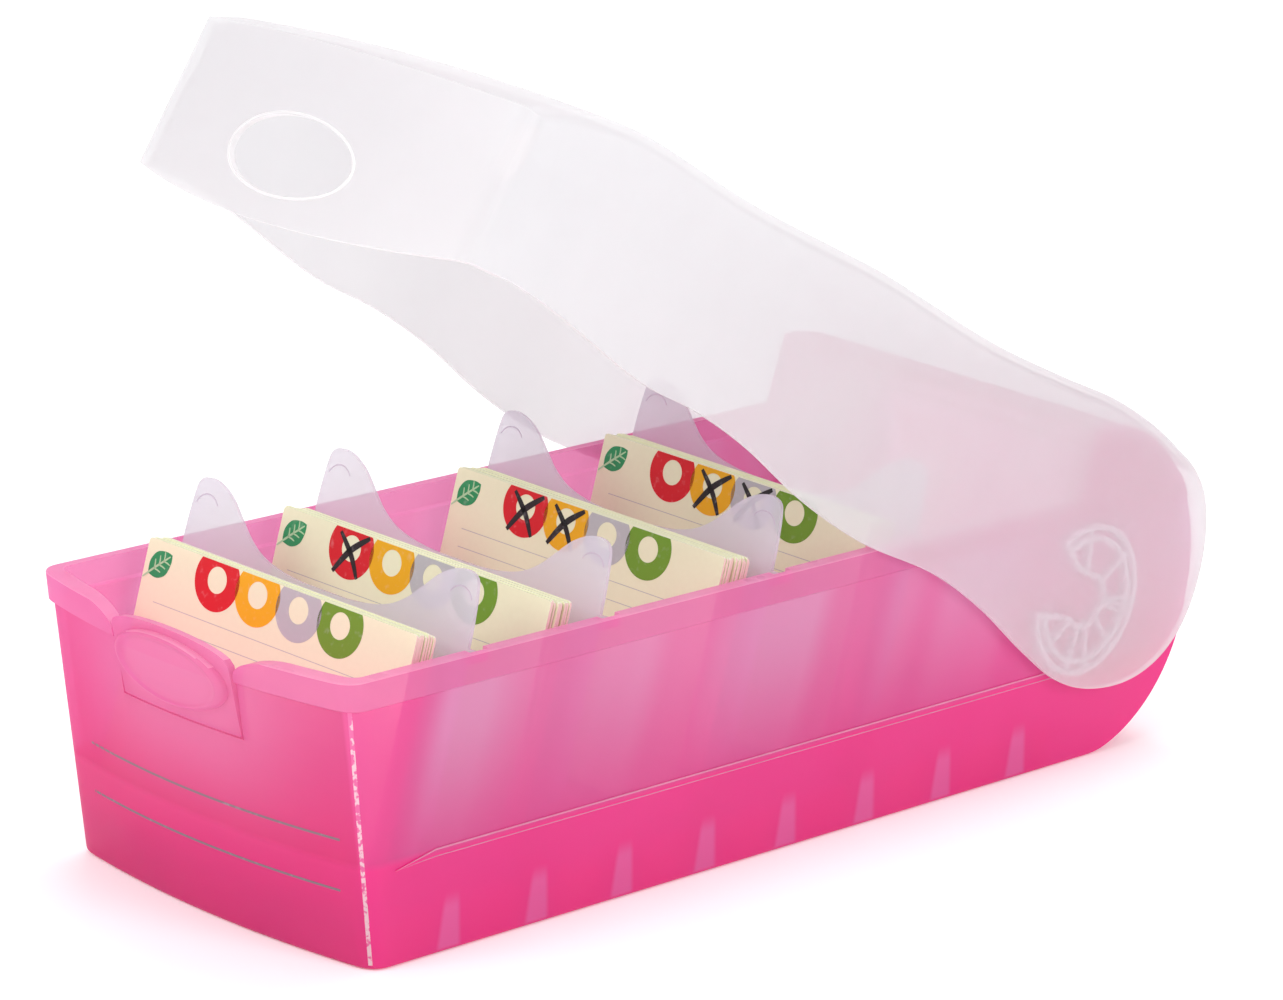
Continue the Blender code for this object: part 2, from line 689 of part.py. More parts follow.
def main():
    clear_scene()
    pink = plastic("pink_plastic", PINK, 0.35)
    milky = plastic("milky_plastic", MILKY, 0.4)
    lilac = plastic("divider_plastic", LILAC, 0.4)
    cream = plastic("card_stock", CREAM, 0.8)
    build_tray(pink)
    build_tongue(pink)
    build_lid(milky)
    build_dividers(lilac)
    build_cards(cream)


main()
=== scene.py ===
"""Looks of a card index box: translucent tray, milky wavy lid, dividers and stacks of small cards.

Metres, +Z up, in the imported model's frame. Every piece is built at rest, where its CAD node lies,
and then rides on that node's body.
"""

import json
import math
import random

import bmesh
import bpy
from mathutils import Matrix, Vector


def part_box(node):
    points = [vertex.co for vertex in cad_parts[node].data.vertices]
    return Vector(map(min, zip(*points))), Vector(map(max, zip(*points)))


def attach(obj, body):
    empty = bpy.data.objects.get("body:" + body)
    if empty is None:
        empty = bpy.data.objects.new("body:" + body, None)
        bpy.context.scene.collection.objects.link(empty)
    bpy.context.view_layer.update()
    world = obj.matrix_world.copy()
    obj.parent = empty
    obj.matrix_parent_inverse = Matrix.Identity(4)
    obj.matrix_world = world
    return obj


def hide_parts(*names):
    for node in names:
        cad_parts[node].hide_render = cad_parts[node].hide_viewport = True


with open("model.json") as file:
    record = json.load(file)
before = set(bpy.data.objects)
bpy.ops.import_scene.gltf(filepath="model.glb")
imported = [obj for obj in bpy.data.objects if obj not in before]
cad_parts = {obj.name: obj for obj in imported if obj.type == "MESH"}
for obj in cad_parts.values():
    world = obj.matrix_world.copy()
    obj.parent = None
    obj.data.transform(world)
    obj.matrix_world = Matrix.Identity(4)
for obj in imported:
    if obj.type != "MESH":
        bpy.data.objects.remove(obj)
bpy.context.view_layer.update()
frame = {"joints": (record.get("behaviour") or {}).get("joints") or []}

MM = 0.001
FAR_X = 60 * MM  # a cutter runs this far either side of the box
FAR_Z = 95 * MM
MARGIN = 30 * MM
SKIM = 0.01 * MM  # keeps two faces from lying in one plane
SHARP_ANGLE = 35.0
PINK_TINT = (0.99, 0.55, 0.78, 1.0)  # the colour light takes on in the tray's outer skin

# Camera and light
CAMERA_AZIMUTH = 42.85
CAMERA_ELEVATION = 16.71
CAMERA_ROLL = 3.73
CAMERA_LENS = 170.57
CAMERA_OFFSET = (0.79147, -0.73307, 0.41211)  # from the table below the front rim
AMBIENT = 0.62
FLOOR_LIFT = 0.16

# Tray
RIM_HEIGHT = 59.4 * MM
BASE_HALF_WIDTH = 41.3 * MM
BODY_HALF_WIDTH = 42.3 * MM
COLLAR_HALF_WIDTH = 43.0 * MM
HUMP_HALF_WIDTH = 42.6 * MM
COLLAR_BOTTOM = 53.6 * MM
COLLAR_STEP = 0.5 * MM
COLLAR_FORWARD = 0.7 * MM
FRONT_DRAFT = 11.0 * MM
BOW_AT_BASE = 4.0 * MM
BOW_AT_RIM = 6.5 * MM
WALL = 1.6 * MM
EDGE_ROUND = 1.2 * MM
RIM_ROUND = 0.4 * MM
CORNER_ROUND = 4.0 * MM
SAG_STEPS = 44
CORNER_STEPS = 8
REAR_STEPS = 72
DECK_TOP = 12.0 * MM
DECK_THICKNESS = 1.6 * MM
DECK_HALF_WIDTH = 37.8 * MM
LEDGE_HEIGHT = 22.0 * MM
LEDGE_PROUD = 0.28 * MM
SKIRT_INNER_HALF_WIDTH = 39.7 * MM
FOOT_PITCH = 23.4 * MM
FEET_PER_SIDE = 8
FOOT_WIDTH = 7.4 * MM
FOOT_DEPTH = 5.2 * MM
FOOT_WALL = 0.9 * MM
FOOT_SOLE = 1.4 * MM
FRONT_FOOT_X = 16.0 * MM
WRITING_LINES = ((26.5 * MM, 2.7 * MM), (15.8 * MM, 1.6 * MM))  # height and middle of each
WRITING_LINE_HALF_LENGTH = 34.0 * MM
WRITING_LINE_WIDTH = 0.5 * MM
PEG_RADIUS = 4.0 * MM
PEG_END = 43.3 * MM
REAR_RADIUS = 37.0 * MM
REAR_SWELL = 1.9 * MM  # how far the low rear bulges beyond that radius
SWELL_ANGLES = (-90.0, -8.0)
HUMP_TOP_ANGLE = 92.0

# Places taken from the frame
hinge = next(joint for joint in frame["joints"] if joint["name"] == "lid_hinge")
PIVOT_Y, PIVOT_Z = hinge["pos_m"][1:]
FRONT_Y = PIVOT_Y - 209 * MM  # front rim corners
HUMP_FOOT_Y = PIVOT_Y - 5.6 * MM
DECK_END_Y = PIVOT_Y - 4.0 * MM
FOOT_FIRST_Y = FRONT_Y + 30.4 * MM
REAR_END_Y = PIVOT_Y + 60 * MM

# Latch tongue
TONGUE_HALF_WIDTH = 16.2 * MM
TONGUE_ROOT = 42.0 * MM
TONGUE_SHOULDER = 56.6 * MM
TONGUE_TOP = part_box("latch_tongue")[1].z
TONGUE_LEAN = 1.3 * MM
SLIT = 0.5 * MM
ROOT_GAP = 0.4 * MM  # room for the tongue's lower edge to turn when it flexes
LOBE_START = 28.0 * MM
NOTCH_BOTTOM = 54.6 * MM
PAD_CENTRE_Z = 51.6 * MM
PAD_HALF_LENGTH = 15.0 * MM
PAD_HALF_HEIGHT = 7.2 * MM

# Lid, closed; it is then swung to its half-open rest position
LID_OPEN_ANGLE = 25.9
LID_HALF_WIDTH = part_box("lid")[1].x
LID_WALL = 1.3 * MM
LID_BOW = 8.0 * MM
LID_FRONT_BOTTOM = (FRONT_Y - 3.3 * MM, 44.5 * MM)
LID_FRONT_TOP = (FRONT_Y - 0.2 * MM, 75.0 * MM)
LID_EDGE_DIP = 5.2 * MM
FRONT_SEAM = 7.0 * MM
LID_FILLET = 3.0 * MM
LID_CROWN = 1.6 * MM
HOLE_CENTRE_Z = 52.6 * MM
HOLE_HALF_LENGTH = 15.8 * MM
HOLE_HALF_HEIGHT = 7.8 * MM
RING_OUTER = 16.2 * MM
RING_INNER = 5.2 * MM
RING_WALL = 1.2 * MM
RING_FACE = 42.6 * MM
RING_MOUTH = (148.0, 207.0)
RING_RIBS = (116, 59, 18, 11, 4, -26, -59, -82, -117)
RING_COVER = 0.3 * MM  # how far under the ear's outer face the ring starts
WELD = 0.4 * MM

# Cards and dividers
CARD_WIDTH = 74.0 * MM
CARD_HEIGHT = 52.0 * MM
CARD_PITCH = 0.65 * MM
SHEET_THICKNESS = 0.5 * MM
CARD_LEAN = math.radians(13)
STACK_COUNTS = (8, 9, 12, 12)
CARD_CORNER = 0.8 * MM
PRINT_RELIEF = 0.02 * MM
PRINT_THICKNESS = 0.03 * MM
PRINT_RING_OUTER = 6.1 * MM
PRINT_RING_INNER = 2.6 * MM
PRINT_RING_FIRST = 20.2 * MM  # from the card's left edge
PRINT_RING_PITCH = 11.35 * MM
RULE_FIRST = 11.9 * MM  # below the card's top edge
RULE_PITCH = 3.7 * MM
RULE_WIDTH = 0.14 * MM
RULE_MARGIN = 4.4 * MM
RULE_COUNT = 9
LEAF_SIZE = 7.4 * MM
DIVIDER_THICKNESS = 0.8 * MM
DIVIDER_HEIGHT = 62.0 * MM
NOTCH_DEPTH = 2.4 * MM  # the rim's seats for the dividers' lugs; also half their length


# ---- camera and light


def make_camera():
    """Looks down on the box's front right corner through a long lens, rolled a little."""
    azimuth, elevation, roll = (math.radians(angle) for angle in
                                (CAMERA_AZIMUTH, CAMERA_ELEVATION, CAMERA_ROLL))
    back = Vector((math.sin(azimuth) * math.cos(elevation),
                   -math.cos(azimuth) * math.cos(elevation), math.sin(elevation)))
    level = Vector((math.cos(azimuth), math.sin(azimuth), 0.0))
    upright = back.cross(level)
    right = level * math.cos(roll) + upright * math.sin(roll)
    up = upright * math.cos(roll) - level * math.sin(roll)
    data = bpy.data.cameras.new("camera")
    data.sensor_width = 36.0
    data.lens = CAMERA_LENS
    data.clip_end = 10.0
    camera = add_object("camera", data)
    turn = Matrix((right, up, back)).transposed().to_4x4()
    lens_at = Vector(CAMERA_OFFSET) + Vector((0.0, FRONT_Y, 0.0))
    camera.matrix_world = Matrix.Translation(lens_at) @ turn
    bpy.context.scene.camera = camera


def area_light(name, location, target, size, power):
    data = bpy.data.lights.new(name, "AREA")
    data.shape = "RECTANGLE"
    data.size, data.size_y = size
    data.energy = power
    lamp = add_object(name, data)
    lamp.location = location
    direction = Vector(target) - Vector(location)
    lamp.rotation_euler = direction.to_track_quat("-Z", "Y").to_euler()


def make_light():
    scene = bpy.context.scene
    scene.view_settings.view_transform = "Standard"
    scene.cycles.transparent_max_bounces = 40
    world = bpy.data.worlds.new("studio")
    world.use_nodes = True
    tree = world.node_tree
    tree.nodes.clear()
    seen = node(tree, "Background", {"Color": rgb((1.0, 1.0, 1.0)), "Strength": 1.0})
    ambient = node(tree, "Background", {"Color": rgb((1.0, 1.0, 1.0)), "Strength": AMBIENT})
    by_camera = node(tree, "LightPath").outputs["Is Camera Ray"]
    both = node(tree, "MixShader", {0: by_camera, 1: ambient, 2: seen})
    node(tree, "OutputWorld", {"Surface": both})
    scene.world = world
    area_light("key", (0.0, -1.2, 1.0), (0, 0, 0.05), (0.9, 0.7), 9.5)
    area_light("side", (1.3, 0.1, 0.6), (0, 0, 0.05), (0.4, 1.2), 7.0)
    area_light("top", (-0.3, 0.5, 1.5), (0, 0, 0.08), (1.2, 0.8), 9.0)


# ---- materials


def node(tree, kind, inputs=None, **settings):
    """A shader node; each input is given a value, a node or a socket."""
    made = tree.nodes.new("ShaderNode" + kind)
    for key, value in settings.items():
        setattr(made, key, value)
    for key, value in (inputs or {}).items():
        if isinstance(value, bpy.types.Node):
            value = value.outputs[0]
        if isinstance(value, bpy.types.NodeSocket):
            tree.links.new(value, made.inputs[key])
        else:
            made.inputs[key].default_value = value
    return made


def math_node(tree, operation, *values):
    return node(tree, "Math", dict(enumerate(values)), operation=operation)


def product(tree, first, *factors):
    """The first value times each of the others."""
    for factor in factors:
        first = math_node(tree, "MULTIPLY", first, factor)
    return first


def rgb(colour):
    return (*colour, 1.0)


def blend_colour(tree, factor, a, b):
    """Colour a where the factor is 0 and b where it is 1."""
    made = node(tree, "Mix", data_type="RGBA")
    for index, value in ((0, factor), (6, a), (7, b)):
        if isinstance(value, bpy.types.Node):
            source = value.outputs[2] if value.bl_idname == "ShaderNodeMix" else value.outputs[0]
            tree.links.new(source, made.inputs[index])
        elif isinstance(value, bpy.types.NodeSocket):
            tree.links.new(value, made.inputs[index])
        else:
            made.inputs[index].default_value = value
    return made.outputs[2]


def ramp(tree, factor, low, high):
    """0 below low, 1 above high and a smooth step between."""
    return node(tree, "MapRange", {0: factor, 1: low, 2: high}, interpolation_type="SMOOTHSTEP")


def noise(tree, vector, scale, detail=2.0):
    return node(tree, "TexNoise", {"Vector": vector, "Scale": scale, "Detail": detail}).outputs[0]


def new_material(name):
    """An empty material, its node tree and a socket with the place on the object."""
    material = bpy.data.materials.new(name)
    material.use_nodes = True
    tree = material.node_tree
    tree.nodes.clear()
    return material, tree, node(tree, "TexCoord").outputs["Object"]


def moulded(tree, spot, colour, tint, solid, roughness, relief, grain=1500.0, backlight=0.45):
    """See-through polypropylene: part pigment, part light let through from behind, part clear."""
    height = noise(tree, spot, grain, 3.0)
    bump = node(tree, "Bump", {"Strength": relief, "Distance": 0.05 * MM, "Height": height})
    patchy = noise(tree, spot, 55.0, 2.0)
    rough = node(tree, "MapRange", {0: patchy, 3: roughness * 0.8, 4: roughness * 1.2})
    front = node(tree, "BsdfPrincipled", {"Base Color": colour, "Roughness": rough, "Normal": bump})
    front.inputs["IOR"].default_value = 1.49
    behind = node(tree, "BsdfTranslucent", {"Color": colour})
    body = node(tree, "MixShader", {0: backlight, 1: front, 2: behind})
    clear = node(tree, "BsdfTransparent", {"Color": tint})
    shader = node(tree, "MixShader", {0: solid, 1: clear, 2: body})
    node(tree, "OutputMaterial", {"Surface": shader})


def tray_zones(tree, x, y, z):
    """Masks over the tray: bands by height, leaning streaks of painted shade, the side walls and the front.
    """
    along = math_node(tree, "ADD", y, product(tree, z, -math.tan(CARD_LEAN)))
    line = node(tree, "CombineXYZ", {1: along})
    return {
        "upper": ramp(tree, z, LEDGE_HEIGHT - 1.5 * MM, LEDGE_HEIGHT + 0.5 * MM),
        "fade": ramp(tree, z, LEDGE_HEIGHT - 6 * MM, COLLAR_BOTTOM - 4 * MM),
        "collar": ramp(tree, z, COLLAR_BOTTOM - 0.4 * MM, COLLAR_BOTTOM + 0.2 * MM),
        "streaks": ramp(tree, noise(tree, line, 34.0, 1.0), 0.60, 0.40),
        "side": ramp(tree, math_node(tree, "ABSOLUTE", x), 39.6 * MM, 40.4 * MM),
        "centre": ramp(tree, math_node(tree, "ABSOLUTE", x), 38 * MM, 6 * MM),
        "corner": ramp(tree, along, FRONT_Y + 15 * MM, FRONT_Y + 4 * MM),
    }


def feet_light_mask(tree, y, z):
    """1 on a pale bar of painted light over each foot, widening towards the table."""
    phase = math_node(tree, "DIVIDE", math_node(tree, "SUBTRACT", y, FOOT_FIRST_Y - FOOT_PITCH / 2),
                      FOOT_PITCH)
    cell = math_node(tree, "SUBTRACT", math_node(tree, "FRACT", phase), 0.5)
    offset = math_node(tree, "ABSOLUTE", product(tree, cell, FOOT_PITCH))
    half = node(tree, "MapRange", {0: z, 1: 0.0, 2: DECK_TOP, 3: 3.3 * MM, 4: 2.0 * MM})
    inside = math_node(tree, "SUBTRACT", half, offset)
    bar = ramp(tree, inside, -0.5 * MM, 1.0 * MM)
    under = ramp(tree, z, DECK_TOP + 0.8 * MM, DECK_TOP - 3.5 * MM)
    above = ramp(tree, z, 0.4 * MM, 1.4 * MM)
    behind = ramp(tree, y, FOOT_FIRST_Y - FOOT_WIDTH, FOOT_FIRST_Y - FOOT_WIDTH + MM)
    before = ramp(tree, y, feet_centres()[-1] + FOOT_WIDTH, feet_centres()[-1] + FOOT_WIDTH - MM)
    return product(tree, bar, under, above, behind, before)


def tray_plastic():
    """Deep pink low down, partly painted shade of the hollow under the card floor; paler, clearer and
    streaked above the ledge, partly painted light from the cards behind the wall.
    """
    material, tree, spot = new_material("tray_plastic")
    x, y, z = node(tree, "SeparateXYZ", {0: spot}).outputs
    zones = tray_zones(tree, x, y, z)
    # below the ledge: deep pink, partly painted shade of the hollow under the card floor
    deep_pink_and_shade = rgb((0.93, 0.03, 0.31))
    # the wall pales upwards, partly painted light from the cards seen through it
    wall = blend_colour(tree, zones["fade"], rgb((0.90, 0.13, 0.46)), rgb((0.86, 0.42, 0.70)))
    # painted shade: darker leaning streaks where the cards and dividers stand behind the wall
    wall = blend_colour(tree, product(tree, zones["streaks"], 0.55), wall, rgb((0.86, 0.09, 0.40)))
    wall = blend_colour(tree, product(tree, zones["corner"], 0.85), wall, rgb((0.90, 0.08, 0.40)))
    wall = blend_colour(tree, zones["upper"], deep_pink_and_shade, wall)
    # painted light: paler bars where light falls into the foot wells behind the wall
    wall = blend_colour(tree, feet_light_mask(tree, y, z), wall, rgb((0.90, 0.14, 0.47)))
    front = blend_colour(tree, zones["fade"], rgb((0.80, 0.025, 0.25)), rgb((0.74, 0.07, 0.31)))
    # painted light: a paler glow over the middle and top of the front wall
    painted_glow = product(tree, zones["centre"], zones["fade"])
    front = blend_colour(tree, painted_glow, front, rgb((0.83, 0.27, 0.54)))
    colour = blend_colour(tree, zones["side"], front, wall)
    colour = blend_colour(tree, zones["collar"], colour, rgb((0.83, 0.24, 0.52)))
    cloud = product(tree, noise(tree, spot, 22.0, 2.0), 0.15)
    colour = blend_colour(tree, cloud, colour, rgb((0.93, 0.3, 0.6)))
    solid = node(tree, "MapRange", {0: zones["upper"], 3: 0.94, 4: 0.68})
    moulded(tree, spot, colour, PINK_TINT, solid, 0.33, 0.25)
    return material


def tray_inner_plastic():
    """The inside faces: clearer, so that the pigment reads through the wall's depth."""
    material, tree, spot = new_material("tray_inner_plastic")
    cloud = noise(tree, spot, 40.0, 2.0)
    colour = blend_colour(tree, cloud, rgb((0.93, 0.34, 0.64)), rgb((0.93, 0.44, 0.70)))
    moulded(tree, spot, colour, rgb((1.0, 0.86, 0.93)), 0.30, 0.3, 0.25)
    return material


def tray_edge_plastic():
    """Moulded edges and rims, in a paler pink that is a painted highlight where they catch the light."""
    material, tree, spot = new_material("tray_edge_plastic")
    cloud = noise(tree, spot, 120.0, 3.0)
    # painted highlight: paler than the walls around it
    colour = blend_colour(tree, cloud, rgb((0.92, 0.36, 0.62)), rgb((0.96, 0.55, 0.76)))
    moulded(tree, spot, colour, PINK_TINT, 0.7, 0.28, 0.3)
    return material


def tray_corner_plastic():
    """The front corners, where a painted highlight breaks up into pale specks."""
    material, tree, spot = new_material("tray_corner_plastic")
    speck = noise(tree, spot, 900.0, 3.0)
    low_end = ramp(tree, node(tree, "SeparateXYZ", {0: spot}).outputs[2], COLLAR_BOTTOM, 0.0)
    mask = ramp(tree, math_node(tree, "ADD", speck, product(tree, low_end, 0.14)), 0.50, 0.60)
    # painted highlight: near-white specks along the corner, stronger towards the table
    colour = blend_colour(tree, mask, rgb((0.92, 0.24, 0.55)), rgb((0.99, 0.93, 0.96)))
    moulded(tree, spot, colour, rgb((0.99, 0.5, 0.75)), 0.8, 0.2, 0.5)
    return material


def milky_plastic(name, colour, solid, roughness):
    """Natural polypropylene: a pale cloudy haze that lets shapes behind it show softly."""
    material, tree, spot = new_material(name)
    cloud = noise(tree, spot, 14.0, 3.0)
    tone = blend_colour(tree, cloud, rgb(colour), rgb([c * 0.95 for c in colour]))
    dense = node(tree, "MapRange", {0: cloud, 1: 0.3, 2: 0.7, 3: solid * 0.88, 4: solid * 1.12})
    moulded(tree, spot, tone, rgb((0.99, 0.985, 0.99)), dense, roughness, 0.3, 1200.0, 0.55)
    return material


def paper(name, colour, low_colour):
    """Uncoated card: faint fibre mottling and a fine tooth."""
    material, tree, spot = new_material(name)
    fibres = noise(tree, spot, 900.0, 4.0)
    cloud = noise(tree, spot, 40.0, 2.0)
    tone = blend_colour(tree, cloud, rgb(colour), rgb(low_colour))
    tone = blend_colour(tree, product(tree, fibres, 0.12), tone, rgb((0.6, 0.5, 0.3)))
    bump = node(tree, "Bump", {"Strength": 0.3, "Distance": 0.02 * MM, "Height": fibres})
    shader = node(tree, "BsdfPrincipled", {"Base Color": tone, "Roughness": 0.75, "Normal": bump})
    node(tree, "OutputMaterial", {"Surface": shader})
    return material


def ink(name, colour):
    """Print on card: slightly uneven cover over the paper's tooth."""
    material, tree, spot = new_material(name)
    cover = noise(tree, spot, 700.0, 3.0)
    paler = [c + (0.9 - c) * 0.12 for c in colour]
    tone = blend_colour(tree, ramp(tree, cover, 0.55, 0.8), rgb(colour), rgb(paler))
    bump = node(tree, "Bump", {"Strength": 0.2, "Distance": 0.02 * MM, "Height": cover})
    shader = node(tree, "BsdfPrincipled", {"Base Color": tone, "Roughness": 0.6, "Normal": bump})
    node(tree, "OutputMaterial", {"Surface": shader})
    return material


def floor_material():
    """A pale plain table; the small lift keeps the box's pink light from tinting it."""
    material, tree, spot = new_material("studio_floor")
    cloud = noise(tree, spot, 3.0, 2.0)
    tone = blend_colour(tree, cloud, rgb((0.98, 0.98, 0.98)), rgb((0.95, 0.95, 0.95)))
    shader = node(tree, "BsdfPrincipled", {"Base Color": tone, "Roughness": 0.85, "Emission Color": tone})
    shader.inputs["Specular IOR Level"].default_value = 0.2
    shader.inputs["Emission Strength"].default_value = FLOOR_LIFT
    node(tree, "OutputMaterial", {"Surface": shader})
    return material


# ---- mesh helpers


def mix(a, b, t):
    """The value a share t of the way from a to b."""
    return a + (b - a) * t


def arc(centre, radius, start, end, steps):
    """Points (u, v) on an arc, angles in degrees from +u towards +v."""
    points = []
    for i in range(steps + 1):
        angle = math.radians(mix(start, end, i / steps))
        points.append((centre[0] + radius * math.cos(angle), centre[1] + radius * math.sin(angle)))
    return points


def ellipse(half_length, half_height, centre_z, steps):
    points = []
    for i in range(steps):
        angle = 2 * math.pi * i / steps
        points.append((half_length * math.cos(angle), centre_z + half_height * math.sin(angle)))
    return points


def spline(points, steps):
    """A smooth Catmull-Rom curve through the points."""
    curve = []
    for i in range(len(points) - 1):
        p0 = points[max(i - 1, 0)]
        p1, p2 = points[i], points[i + 1]
        p3 = points[min(i + 2, len(points) - 1)]
        for k in range(steps):
            t = k / steps
            curve.append(tuple(
                0.5 * (2 * b + (c - a) * t + (2 * a - 5 * b + 4 * c - d) * t * t
                       + (3 * b - a - 3 * c + d) * t ** 3)
                for a, b, c, d in zip(p0, p1, p2, p3)))
    curve.append(tuple(points[-1]))
    return curve


def normals(curve):
    """The unit vector across the curve at each of its points."""
    across = []
    for i in range(len(curve)):
        ahead = curve[min(i + 1, len(curve) - 1)]
        before = curve[max(i - 1, 0)]
        along = Vector((ahead[0] - before[0], ahead[1] - before[1])).normalized()
        across.append(Vector((-along.y, along.x)))
    return across


def thick_line(curve, halves):
    """The outline of a line with half its width given at each point."""
    left, right = [], []
    for (u, v), across, half in zip(curve, normals(curve), halves):
        left.append((u + across.x * half, v + across.y * half))
        right.append((u - across.x * half, v - across.y * half))
    return left + list(reversed(right))


def add_object(name, data):
    obj = bpy.data.objects.new(name, data)
    bpy.context.scene.collection.objects.link(obj)
    return obj


def make_object(name, verts, faces, material=None):
    mesh = bpy.data.meshes.new(name)
    mesh.from_pydata([tuple(v) for v in verts], [], faces)
    work = bmesh.new()
    work.from_mesh(mesh)
    bmesh.ops.remove_doubles(work, verts=work.verts, dist=1e-7)
    bmesh.ops.recalc_face_normals(work, faces=work.faces)
    work.to_mesh(mesh)
    work.free()
    if material:
        mesh.materials.append(material)
    return add_object(name, mesh)


def loft(name, rings, material=None):
    """A closed solid through rings of equal length, with flat ends."""
    count = len(rings[0])
    verts = [p for ring in rings for p in ring]
    faces = [tuple(range(count))]
    for k in range(len(rings) - 1):
        for i in range(count):
            j = (i + 1) % count
            faces.append((k * count + i, k * count + j, (k + 1) * count + j, (k + 1) * count + i))
    faces.append(tuple(range((len(rings) - 1) * count, len(rings) * count)))
    return make_object(name, verts, faces, material)


def side_prism(name, outline, x_low, x_high, material=None):
    """An outline of (y, z) points drawn along X."""
    return loft(name, [[(x, y, z) for y, z in outline] for x in (x_low, x_high)], material)


def front_prism(name, outline, y_low, y_high, material=None):
    """An outline of (x, z) points drawn along Y."""
    return loft(name, [[(x, y, z) for x, z in outline] for y in (y_low, y_high)], material)


def span(side, near, far):
    """Two distances from the middle plane as a low and a high x on one side of it."""
    return sorted((side * near, side * far))


def box(name, low, high, material=None):
    outline = [(low[1], low[2]), (high[1], low[2]), (high[1], high[2]), (low[1], high[2])]
    return side_prism(name, outline, low[0], high[0], material)


def join(name, pieces):
    """Several objects as one, keeping their materials."""
    slots = []
    work = bmesh.new()
    for piece in pieces:
        mesh = piece.data
        for material in mesh.materials:
            if material not in slots:
                slots.append(material)
        first = len(work.faces)
        work.from_mesh(mesh)
        work.faces.ensure_lookup_table()
        for face in work.faces[first:]:
            if mesh.materials:
                face.material_index = slots.index(mesh.materials[face.material_index])
        bpy.data.objects.remove(piece, do_unlink=True)
    mesh = bpy.data.meshes.new(name)
    work.to_mesh(mesh)
    work.free()
    for material in slots:
        mesh.materials.append(material)
    return add_object(name, mesh)


def combine(target, tool, operation):
    """Applies a Boolean of the tool to the target and removes the tool; cuts take its material."""
    modifier = target.modifiers.new("combine", "BOOLEAN")
    modifier.operation = operation
    modifier.solver = "EXACT"
    modifier.material_mode = "TRANSFER"
    modifier.object = tool
    graph = bpy.context.evaluated_depsgraph_get()
    mesh = bpy.data.meshes.new_from_object(target.evaluated_get(graph))
    target.modifiers.clear()
    target.data = mesh
    bpy.data.objects.remove(tool, do_unlink=True)
    return target


def polish(obj):
    """Cleans a finished mesh and shades it smooth except at its real edges."""
    work = bmesh.new()
    work.from_mesh(obj.data)
    bmesh.ops.remove_doubles(work, verts=work.verts, dist=2e-6)
    bmesh.ops.dissolve_degenerate(work, edges=work.edges, dist=2e-6)
    work.to_mesh(obj.data)
    work.free()
    obj.data.shade_smooth()
    obj.data.set_sharp_from_angle(angle=math.radians(SHARP_ANGLE))
    return obj


def place(piece, body, slot, *nodes):
    """Puts a finished piece on its body, in the place of its CAD nodes."""
    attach(piece, body)
    if nodes:
        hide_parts(*nodes)


# ---- tray


def front_y(height):
    """Where the front wall's two ends stand at a height; the wall bows forward between them."""
    return FRONT_Y + FRONT_DRAFT * (1 - height / RIM_HEIGHT)


def bow(height):
    """How far the middle of the front wall stands forward of its ends."""
    return mix(BOW_AT_BASE, BOW_AT_RIM, height / RIM_HEIGHT)


def body_half_width(height):
    return mix(BASE_HALF_WIDTH, BODY_HALF_WIDTH, height / COLLAR_BOTTOM)


def front_wall_y(x, height):
    """The bowed face of the front wall."""
    return front_y(height) - bow(height) * (1 - (x / body_half_width(height)) ** 2)


def plan_ring(height, half_width, front, sag, rear, corner):
    """One level of a box with a bowed front: rear left, front left, front right, rear right."""

    def bowed(x):
        return front - sag * (1 - (x / half_width) ** 2)

    left = []
    inner_x = half_width - corner
    start = Vector((-half_width, bowed(half_width) + corner))
    middle = Vector((-half_width, bowed(half_width)))
    end = Vector((-inner_x, bowed(inner_x)))
    for i in range(CORNER_STEPS):
        t = i / CORNER_STEPS
        p = start * (1 - t) ** 2 + middle * 2 * t * (1 - t) + end * t * t
        left.append((p.x, p.y))
    across = [mix(-inner_x, inner_x, i / SAG_STEPS) for i in range(SAG_STEPS + 1)]
    face = [(x, bowed(x)) for x in across]
    right = [(-x, y) for x, y in reversed(left)]
    outline = [(-half_width, rear)] + left + face + right + [(half_width, rear)]
    return [(x, y, height) for x, y in outline]


def tray_level(height, inset=0.0):
    return plan_ring(height, body_half_width(height) - inset, front_y(height) + inset, bow(height),
                     REAR_END_Y, CORNER_ROUND)


def rear_curve(radius, start):
    """The rear end seen from the side: an arc round the hinge that swells a little low down."""
    first, last = SWELL_ANGLES
    points = []
    for i in range(REAR_STEPS + 1):
        angle = mix(start, HUMP_TOP_ANGLE, i / REAR_STEPS)
        share = min(max((angle - first) / (last - first), 0.0), 1.0)
        reach = radius + REAR_SWELL * math.sin(math.pi * share)
        points.append((PIVOT_Y + reach * math.cos(math.radians(angle)),
                       PIVOT_Z + reach * math.sin(math.radians(angle))))
    return points


